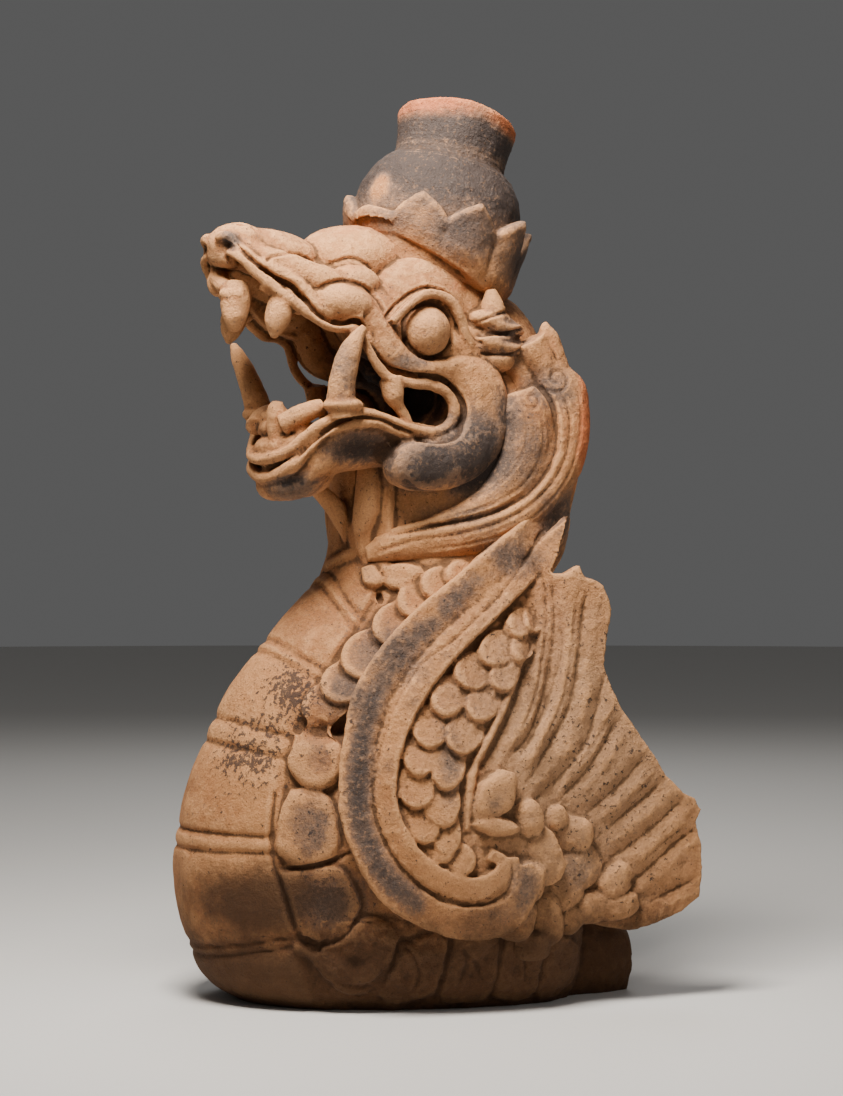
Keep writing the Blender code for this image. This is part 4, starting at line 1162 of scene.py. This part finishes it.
def petal_rings():
    """Sections of the petal ring, all the way round."""
    rings = []
    for turn in np.arange(0, 360, 1.0):
        petal, share = divmod(turn * PETALS / 360, 1)
        off = abs(2 * share - 1)
        peak = 1 - off
        top = PETAL_NOTCH + (PETAL_TIPS[int(petal)] - PETAL_NOTCH) * peak ** 0.75
        around = (FIRST_PETAL - 180 / PETALS + turn + 180) % 360 - 180
        behind = min(max((abs(around) - 30) / 80, 0), 1)
        foot = 4 - 20 * behind
        flare = (3 + 3 * behind) * peak
        belly_out = 1.4 * (1 - off ** 2) - 1.4 * max(off - 0.86, 0) / 0.14
        section = np.array([
            (42, foot), (50, foot), (54.5 + belly_out * 0.5, foot + 9), (55 + belly_out + flare * 0.6, top - 9),
            (56 + flare, top - 4), (55 + flare, top - 1), (51 + flare, top - 0.5), (49 + flare * 0.6, top - 4),
            (50, top - 8), (42, top - 9)])
        angle = math.radians(around)
        rings.append(np.stack([section[:, 0] * math.sin(angle), -section[:, 0] * math.cos(angle),
                               section[:, 1]], axis=1))
    return rings


skin(CROWN, petal_rings(), closed=True)
crown = melt("crown", 0.95, smooth=5)
surface = Surface(crown, CROWN)
radius = np.hypot(surface.co[:, 0], surface.co[:, 1])
height = surface.co[:, 2]
cup = np.flatnonzero((height > CREASE - 8) & (radius > 30))
surface.push(cup, 0.10 * np.sin(height[cup] * 2.1) + 0.08 * np.sin(height[cup] * 3.7 + 1))
surface.write()
uneven(crown, ((24, 1.8), (8, 0.9), (3, 0.3)))
close_piece(crown)

# %% [markdown]
# ## Marks of fire and age, and painted shade
# The clay fired unevenly: most of it is buff to orange brown, flames reddened the rim of the cup and
# the outer edge of the mane, and smoke blackened the crown, the cheek's lobe and the wing's arm. The
# inside of the mouth is blackened in the same way, which is painted shade. Age added dark flecks and
# pale dust behind, and scars break the smoke. The clay is also painted darker low down, towards the
# foot. Every mark is an ellipsoid with a frame, a middle, radii and a strength. How strong each mark is
# at each point is stored in the mesh, as attributes, so that the material can read it. Hollows are found
# by comparing each point with the average of its neighbours; the material paints shade into the hollows
# and wear on what stands out.

# %% Where the fire left its marks, and where shade is painted
ARM_PATH = curve_through([row[:2] for row in OUTER_ARM[1:11]], 44)
# Smoke marks; the first two, inside the mouth, are painted shade.
SOOT_AND_SHADE = (
    (HEAD, (0, -14, 366), (34, 62, 30), 2.2), (HEAD, (0, -95, 398), (20, 40, 24), 0.8),
    (CROWN, (0, 0, 46), (120, 120, 34), 1.35), (CROWN, (0, 0, 78), (80, 80, 18), 1.4),
    (CROWN, (30, 40, 14), (50, 34, 30), 1.0), (CROWN, (56, -8, 14), (30, 40, 22), 0.85),
    (CROWN, (30, -48, 12), (40, 26, 16), 0.65),
    (HEAD, (52, -4, 330), (30, 26, 26), 1.6), (HEAD, (52, -36, 322), (30, 26, 16), 1.7),
    (HEAD, (52, 18, 350), (24, 12, 26), 1.0), (HEAD, (53, -50, 383), (14, 20, 7), 0.9),
    (HEAD, (46, -74, 330), (20, 26, 13), 1.3), (HEAD, (20, -108, 308), (24, 18, 12), 1.2),
    (HEAD, (49, -91, 378), (12, 9, 22), 1.0), (HEAD, (52, 22, 402), (16, 22, 24), 0.8),
    (HEAD, (20, -150, 456), (10, 7, 9), 1.4), (HEAD, (40, -120, 430), (14, 26, 8), 0.4),
    (TRUNK, (55, 60, 370), (26, 20, 18), 0.8), (TRUNK, (58, 44, 332), (30, 22, 34), 0.62),
    (TRUNK, (60, 4, 292), (22, 50, 14), 0.6), (TRUNK, (50, 66, 290), (24, 26, 26), 0.9),
    (TRUNK, (66, 30, 268), (22, 26, 16), 0.8),
    (TRUNK, (96, 66, 84), (16, 20, 20), 0.6), (TRUNK, (100, 6, 124), (14, 9, 8), 0.9),
    (TRUNK, (92, -96, 112), (40, 24, 32), 0.68), (TRUNK, (90, -88, 68), (40, 28, 26), 0.74),
    (TRUNK, (84, -76, 190), (34, 20, 22), 0.85), (TRUNK, (80, -50, 212), (34, 28, 26), 0.8),
    (TRUNK, (80, -92, 150), (24, 12, 20), 0.5), (TRUNK, (100, 26, 74), (18, 13, 20), 0.8),
    (TRUNK, (100, 8, 60), (18, 16, 8), 0.5),
    (TRUNK, (96, -18, 140), (14, 9, 34), 0.75), (TRUNK, (90, 40, 200), (14, 34, 50), 0.3),
    *((TRUNK, (95, y - 3, z + 2), (40, 10, 10), 0.98) for y, z in ARM_PATH),
    *((TRUNK, (95, y, z), (40, 10, 10), 0.4) for y, z, *_size in INNER_ARM[3:8]),
    *((TRUNK, (-95, y, z), (40, 12, 12), 0.6) for y, z in ARM_PATH[::3]),
    (HEAD, (-52, -20, 326), (30, 40, 20), 1.2), (TRUNK, (-58, 50, 340), (30, 24, 40), 0.7),
    (TRUNK, (-86, -90, 90), (30, 24, 44), 0.7), (TRUNK, (0, 96, 300), (40, 30, 40), 0.5),
)
SCARS = (
    (CROWN, (10, -53, 33), (7, 10, 8), 1.4), (TRUNK, (95, 12, 262), (30, 7, 6), 0.9),
    (TRUNK, (95, -24, 236), (30, 6, 5), 0.7), (TRUNK, (95, 20, 250), (30, 12, 4), 0.6),
)
BLUSH = (
    (CROWN, (0, -34, 98), (60, 42, 16), 1.3), (CROWN, (30, 30, 92), (40, 40, 10), 1.1),
    (HEAD, (36, -12, 436), (26, 22, 16), 0.55), (HEAD, (8, -62, 462), (22, 24, 14), 0.6),
    (HEAD, (50, 16, 372), (12, 16, 18), 0.5), (HEAD, (34, -84, 440), (16, 30, 8), 0.4),
    (TRUNK, (50, 89, 346), (34, 14, 44), 1.3), (TRUNK, (60, -110, 214), (40, 30, 18), 0.35),
)
FLECKS = (
    (TRUNK, (60, -104, 190), (40, 15, 17), 1.5), (TRUNK, (50, -128, 150), (40, 20, 18), 1.2),
    (TRUNK, (50, -118, 168), (40, 26, 16), 0.8), (TRUNK, (92, -92, 70), (30, 16, 16), 1.2),
    (TRUNK, (92, -98, 114), (20, 14, 22), 0.5), (TRUNK, (80, 84, 150), (30, 70, 90), 0.35),
    (TRUNK, (60, -90, 150), (40, 40, 50), 0.3),
)
# Marks that darken the clay low down, towards the foot.
LOW_DARKENING = (
    (TRUNK, (0, 0, -16), (190, 240, 78), 2.0), (TRUNK, (60, -120, 66), (80, 60, 32), 1.05),
    (TRUNK, (90, 20, 26), (40, 90, 34), 1.3), (TRUNK, (86, -84, 66), (40, 26, 30), 0.8),
    (TRUNK, (0, 122, 30), (60, 16, 50), 1.0),
)
DUST = (
    (TRUNK, (96, 70, 150), (50, 110, 130), 1.1), (TRUNK, (-96, 70, 150), (50, 110, 130), 1.1),
    (TRUNK, (0, 100, 180), (60, 60, 130), 0.8),
)
FINE_DEPTH, BROAD_DEPTH = 0.5, 2.5  # hollows this deep count in full, measured over a few points or many


def marked(co, places):
    """How strongly each point is marked, from 0 to 1, by ellipsoids in their frames."""
    value = np.zeros(len(co))
    for place_frame, centre, radii, strength in places:
        back = np.array(place_frame.inverted())
        local = (co @ back[:3, :3].T + back[:3, 3]) / MM
        value = np.maximum(value, strength * np.exp(-(((local - centre) / radii) ** 2).sum(1)))
    return value


def hollows(mesh, co, rounds):
    """How far each point lies below (+) or above (-) its smoothed surroundings, in millimetres."""
    edges = np.empty(len(mesh.edges) * 2, np.int32)
    mesh.edges.foreach_get("vertices", edges)
    a, b = edges.reshape(-1, 2).T
    count = np.bincount(a, minlength=len(co)) + np.bincount(b, minlength=len(co))
    soft = co.copy()
    for _round in range(rounds):
        total = [np.bincount(a, soft[b, k], len(co)) + np.bincount(b, soft[a, k], len(co)) for k in range(3)]
        soft = np.stack(total, axis=1) / np.maximum(count, 1)[:, None]
    return ((soft - co) * vectors(mesh.vertex_normals, "vector")).sum(1) / MM


def mark(piece):
    """Stores the marks of fire and age, and where shade is painted, on a piece."""
    mesh = piece.data
    co = vectors(mesh.vertices, "co").astype(float)
    fine, broad = hollows(mesh, co, 3), hollows(mesh, co, 30)
    values = {
        "soot_and_shade": marked(co, SOOT_AND_SHADE) - marked(co, SCARS), "blush": marked(co, BLUSH),
        "flecks": marked(co, FLECKS), "low_darkening": marked(co, LOW_DARKENING), "dust": marked(co, DUST),
        "hollow": np.clip(fine / FINE_DEPTH + broad / BROAD_DEPTH, -1, 1),
    }
    for name, value in values.items():
        mesh.attributes.new(name, "FLOAT", "POINT").data.foreach_set("value", value.astype(np.float32))
    return {name: round(float(value.max()), 2) for name, value in values.items()}


for name, piece in pieces.items():
    print(name, mark(piece))

# %% [markdown]
# ## The material
# A material is a graph of nodes, which is easier to read as sums. Term wraps a socket: adding or
# multiplying terms adds a Math node, and made() adds any other node. Numbers alone stay in Python.

# %% Node sums


class Term:
    """A socket of a material, to be used in expressions."""

    def __init__(self, tree, socket=None):
        self.tree = tree
        self.socket = socket

    def made(self, kind, inputs=None, output=0, stops=None, **settings):
        """A new node's output: its settings are set first, then the values or links of its sockets."""
        node = self.tree.nodes.new(kind)
        for name, value in settings.items():
            setattr(node, name, value)
        for i, (place, colour) in enumerate(stops or ()):
            ramp = node.color_ramp.elements
            stop = ramp[i] if i < len(ramp) else ramp.new(place)
            stop.position = place
            stop.color = colour
        for name, value in (inputs or {}).items():
            if isinstance(value, Term):
                self.tree.links.new(value.socket, node.inputs[name])
            else:
                node.inputs[name].default_value = value
        return Term(self.tree, node.outputs[output])

    def sum(self, operation, first, second):
        return self.made("ShaderNodeMath", {0: first, 1: second}, operation=operation)

    def __add__(self, other):
        return self.sum("ADD", self, other)

    __radd__ = __add__

    def __sub__(self, other):
        return self.sum("SUBTRACT", self, other)

    def __rsub__(self, other):
        return self.sum("SUBTRACT", other, self)

    def __mul__(self, other):
        return self.sum("MULTIPLY", self, other)

    __rmul__ = __mul__

    def between(self, low, high):
        """0 below low, 1 above high, smooth between."""
        return self.made("ShaderNodeMapRange", {"Value": self, "From Min": low, "From Max": high},
                         interpolation_type="SMOOTHSTEP")

    def mixed(self, first, second):
        """The first colour where this is 0, the second where it is 1."""
        return self.made("ShaderNodeMix", {0: self, 6: first, 7: second}, output=2, data_type="RGBA")


print("terms add, subtract and multiply")

# %% [markdown]
# The clay's own colour wanders between buff and orange brown in patches of a few centimetres, with
# fine grain, dark specks and pores. Smoke lies over it in ragged patches, rubbed through on edges, and
# the same blackening inside the mouth is painted shade. Dust lies over parts of it, painted shade
# darkens the hollows, less where the dust is, the clay darkens low down towards the foot, and the
# raised edges are worn pale. Nearly all of it is matt.

# %% Fired clay
BUFF, ORANGE_BROWN, RED = (0.46, 0.215, 0.088, 1), (0.31, 0.130, 0.052, 1), (0.50, 0.125, 0.042, 1)
# FILM_AND_SHADE and SMOKE_AND_SHADE also paint shade inside the mouth; DIRT_AND_SHADE darkens pores, paints shade
# in the hollows and darkens the clay low down.
FILM_AND_SHADE, SMOKE_AND_SHADE, DIRT_AND_SHADE = (0.112, 0.084, 0.070, 1), (0.028, 0.023, 0.023, 1), (0.046, 0.022, 0.010, 1)
PALE, SAND = (0.58, 0.30, 0.135, 1), (0.37, 0.222, 0.126, 1)
COOL_GRAIN, WARM_GRAIN = (0.76, 0.75, 0.74, 1), (1.2, 1.17, 1.10, 1)


def fired_clay():
    """Low-fired terracotta with blackening by fire, flame marks, flecks and wear, painted shade in the hollows
    and inside the mouth, and darkening low down.
    """
    material = bpy.data.materials.new("fired_clay")
    material.use_nodes = True
    tree = material.node_tree
    shader = tree.nodes["Principled BSDF"]
    start = Term(tree)
    place = start.made("ShaderNodeTexCoord", output="Object")

    def noise(scale, detail=4, roughness=0.55):
        return start.made("ShaderNodeTexNoise", {"Vector": place, "Scale": scale, "Detail": detail,
                                                 "Roughness": roughness}, output="Fac")

    def stored(name):
        return start.made("ShaderNodeAttribute", output="Fac", attribute_name=name)

    patches, mottle, grain, sand = noise(14, 5, 0.6), noise(75, 5, 0.6), noise(900, 3), noise(420, 3, 0.7)
    colour = (patches * 0.6 + mottle * 0.4).between(0.42, 0.60).mixed(BUFF, ORANGE_BROWN)
    dust = (stored("dust") + (mottle - 0.5) * 0.8).between(0.2, 1.0)
    colour = (dust * 0.7).mixed(colour, SAND)
    hollow = stored("hollow")
    worn = (hollow * -1 + (mottle - 0.5) * 0.8).between(0.25, 0.9)
    colour = (worn * 0.6).mixed(colour, PALE)
    blush = (stored("blush") + (noise(60, 6, 0.7) - 0.5) * 0.9).between(0.30, 0.90)
    colour = (blush * 0.8).mixed(colour, RED)
    # Smoke from the stored marks; inside the mouth it is painted shade.
    soot_and_shade_cloud = stored("soot_and_shade") + (noise(40, 9, 0.75) - 0.5) * 0.8 + (sand - 0.5) * 0.5
    film_and_shade = (soot_and_shade_cloud - worn * 0.25).between(0.15, 0.75) * (1 - blush * 0.8)
    smoke_and_shade = (soot_and_shade_cloud - worn * 0.45).between(0.55, 1.05) * (1 - blush * 0.8)
    colour = (film_and_shade * 0.8).mixed(colour, FILM_AND_SHADE)
    colour = (smoke_and_shade * 0.85).mixed(colour, SMOKE_AND_SHADE)
    specks = (sand + (patches - 0.5) * 0.25).between(0.60, 0.70)
    colour = (specks * 0.55).mixed(colour, FILM_AND_SHADE)
    flecks = (stored("flecks") * 0.17 + noise(300, 7, 0.66)).between(0.63, 0.67)
    colour = (flecks * 0.85).mixed(colour, SMOKE_AND_SHADE)
    pores = (noise(560, 2, 0.5) + hollow * 0.02).between(0.68, 0.74)
    colour = (pores * 0.8).mixed(colour, DIRT_AND_SHADE)
    colour = ((sand * -1 + mottle * 0.3).between(-0.28, -0.18) * (0.3 - film_and_shade * 0.16)).mixed(colour, PALE)
    # Painted shade in the hollows, weaker where dust lies.
    hollow_shade = (hollow + (mottle - 0.5) * 0.5).between(0.15, 0.95)
    colour = (hollow_shade * (0.78 - dust * 0.28)).mixed(colour, DIRT_AND_SHADE)
    # The clay darkens low down, towards the foot.
    low_darkening = (stored("low_darkening") + (noise(30, 8, 0.7) - 0.5) * 1.2).between(0.15, 1.0)
    colour = (low_darkening * 0.9).mixed(colour, DIRT_AND_SHADE)
    tint = (grain * 0.5 + mottle * 0.5).between(0.3, 0.75).mixed(COOL_GRAIN, WARM_GRAIN)
    colour = start.made("ShaderNodeMix", {0: 1.0, 6: colour, 7: tint}, output=2, data_type="RGBA",
                        blend_type="MULTIPLY")
    relief = grain * 0.6 + noise(300, 5, 0.75) * 2.0 + mottle * 0.9 - pores * 0.9 - flecks * 0.15
    bump = start.made("ShaderNodeBump", {"Height": relief, "Strength": 0.8, "Distance": 0.001})
    tree.links.new(colour.socket, shader.inputs["Base Color"])
    tree.links.new((0.86 - smoke_and_shade * 0.26 + grain * 0.06).socket, shader.inputs["Roughness"])
    tree.links.new(bump.socket, shader.inputs["Normal"])
    shader.inputs["Specular IOR Level"].default_value = 0.25
    return material


clay = fired_clay()
print("the material has", len(clay.node_tree.nodes), "nodes")

# %% [markdown]
# ## Put it together
# Every piece rides on the one body, stands for the solid, and takes the terracotta slot. Shading is
# smooth, since the relief is real mesh. The coin and the pebble that were copied are thrown away.

# %% Hand the pieces over
bpy.data.objects.remove(coin)
bpy.data.objects.remove(pebble)
for piece in pieces.values():
    piece.data.materials.clear()
    piece.data.materials.append(clay)
    piece.data.polygons.foreach_set("use_smooth", [True] * len(piece.data.polygons))
    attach(piece, "root")
    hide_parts("naga_ornament")
print("pieces:", sorted(pieces))

# %% [markdown]
# ## Floor, light and camera
# The floor is plain and pale. The key light is a little warm and stands near, high and in front, where
# the photograph's light comes from, so that the head is bright and the foot falls off into shade. A
# weaker one fills from the side, a third parts the back from the ground, and a pale sky lifts the rest.

# %% The stage
bpy.ops.mesh.primitive_circle_add(vertices=96, radius=6, fill_type="NGON")
floor = bpy.context.object
floor.name = "floor"
paint = bpy.data.materials.new("floor_paint")
paint.use_nodes = True
coat = paint.node_tree.nodes["Principled BSDF"].inputs
coat["Base Color"].default_value = (0.62, 0.60, 0.57, 1)
coat["Roughness"].default_value = 0.7
floor.data.materials.append(paint)

sky = bpy.data.worlds.new("sky")
sky.use_nodes = True
glow = sky.node_tree.nodes["Background"].inputs
glow["Color"].default_value = (0.80, 0.80, 0.80, 1)
glow["Strength"].default_value = 0.13
bpy.context.scene.world = sky


def soft_light(name, azimuth, elevation, distance, size, watts, height=0.28, colour=(1, 1, 1)):
    """A square light that looks at a height over the foot; angles are in degrees, as the camera's."""
    a, e = math.radians(azimuth), math.radians(elevation)
    away = Vector((math.sin(a) * math.cos(e), -math.cos(a) * math.cos(e), math.sin(e)))
    bpy.ops.object.light_add(type="AREA", location=Vector((0, 0, height)) + away * distance)
    light = bpy.context.object
    light.name = name
    light.data.size = size
    light.data.energy = watts
    light.data.color = colour
    light.rotation_euler = away.to_track_quat("Z", "Y").to_euler()


soft_light("key", 50, 50, 0.58, 0.30, 19.5, height=0.46, colour=(1, 0.95, 0.89))
soft_light("fill", 120, 25, 2.0, 1.2, 5)
soft_light("back", 250, 40, 2.0, 1.0, 10)

# %% [markdown]
# The camera stands level, 1.7 m away, a little in front of the animal's left side, as the photograph
# was taken. Its lens follows from that distance and from how many millimetres a pixel covers there.

# %% The camera
AZIMUTH, DISTANCE, AIM = math.radians(73), 1.7, (-0.0053, 0.273)
PIXEL_MM, PHOTO_HEIGHT, SENSOR = 0.62, 1096, 36

away = Vector((math.sin(AZIMUTH), -math.cos(AZIMUTH), 0))
aside = Vector((math.cos(AZIMUTH), math.sin(AZIMUTH), 0))
bpy.ops.object.camera_add(location=aside * AIM[0] + Vector((0, 0, AIM[1])) + away * DISTANCE)
camera = bpy.context.object
camera.rotation_euler = away.to_track_quat("Z", "Y").to_euler()
camera.data.sensor_width = SENSOR
camera.data.lens = DISTANCE / MM / PIXEL_MM / PHOTO_HEIGHT * SENSOR
bpy.context.scene.camera = camera
print("lens", round(camera.data.lens, 1), "mm")
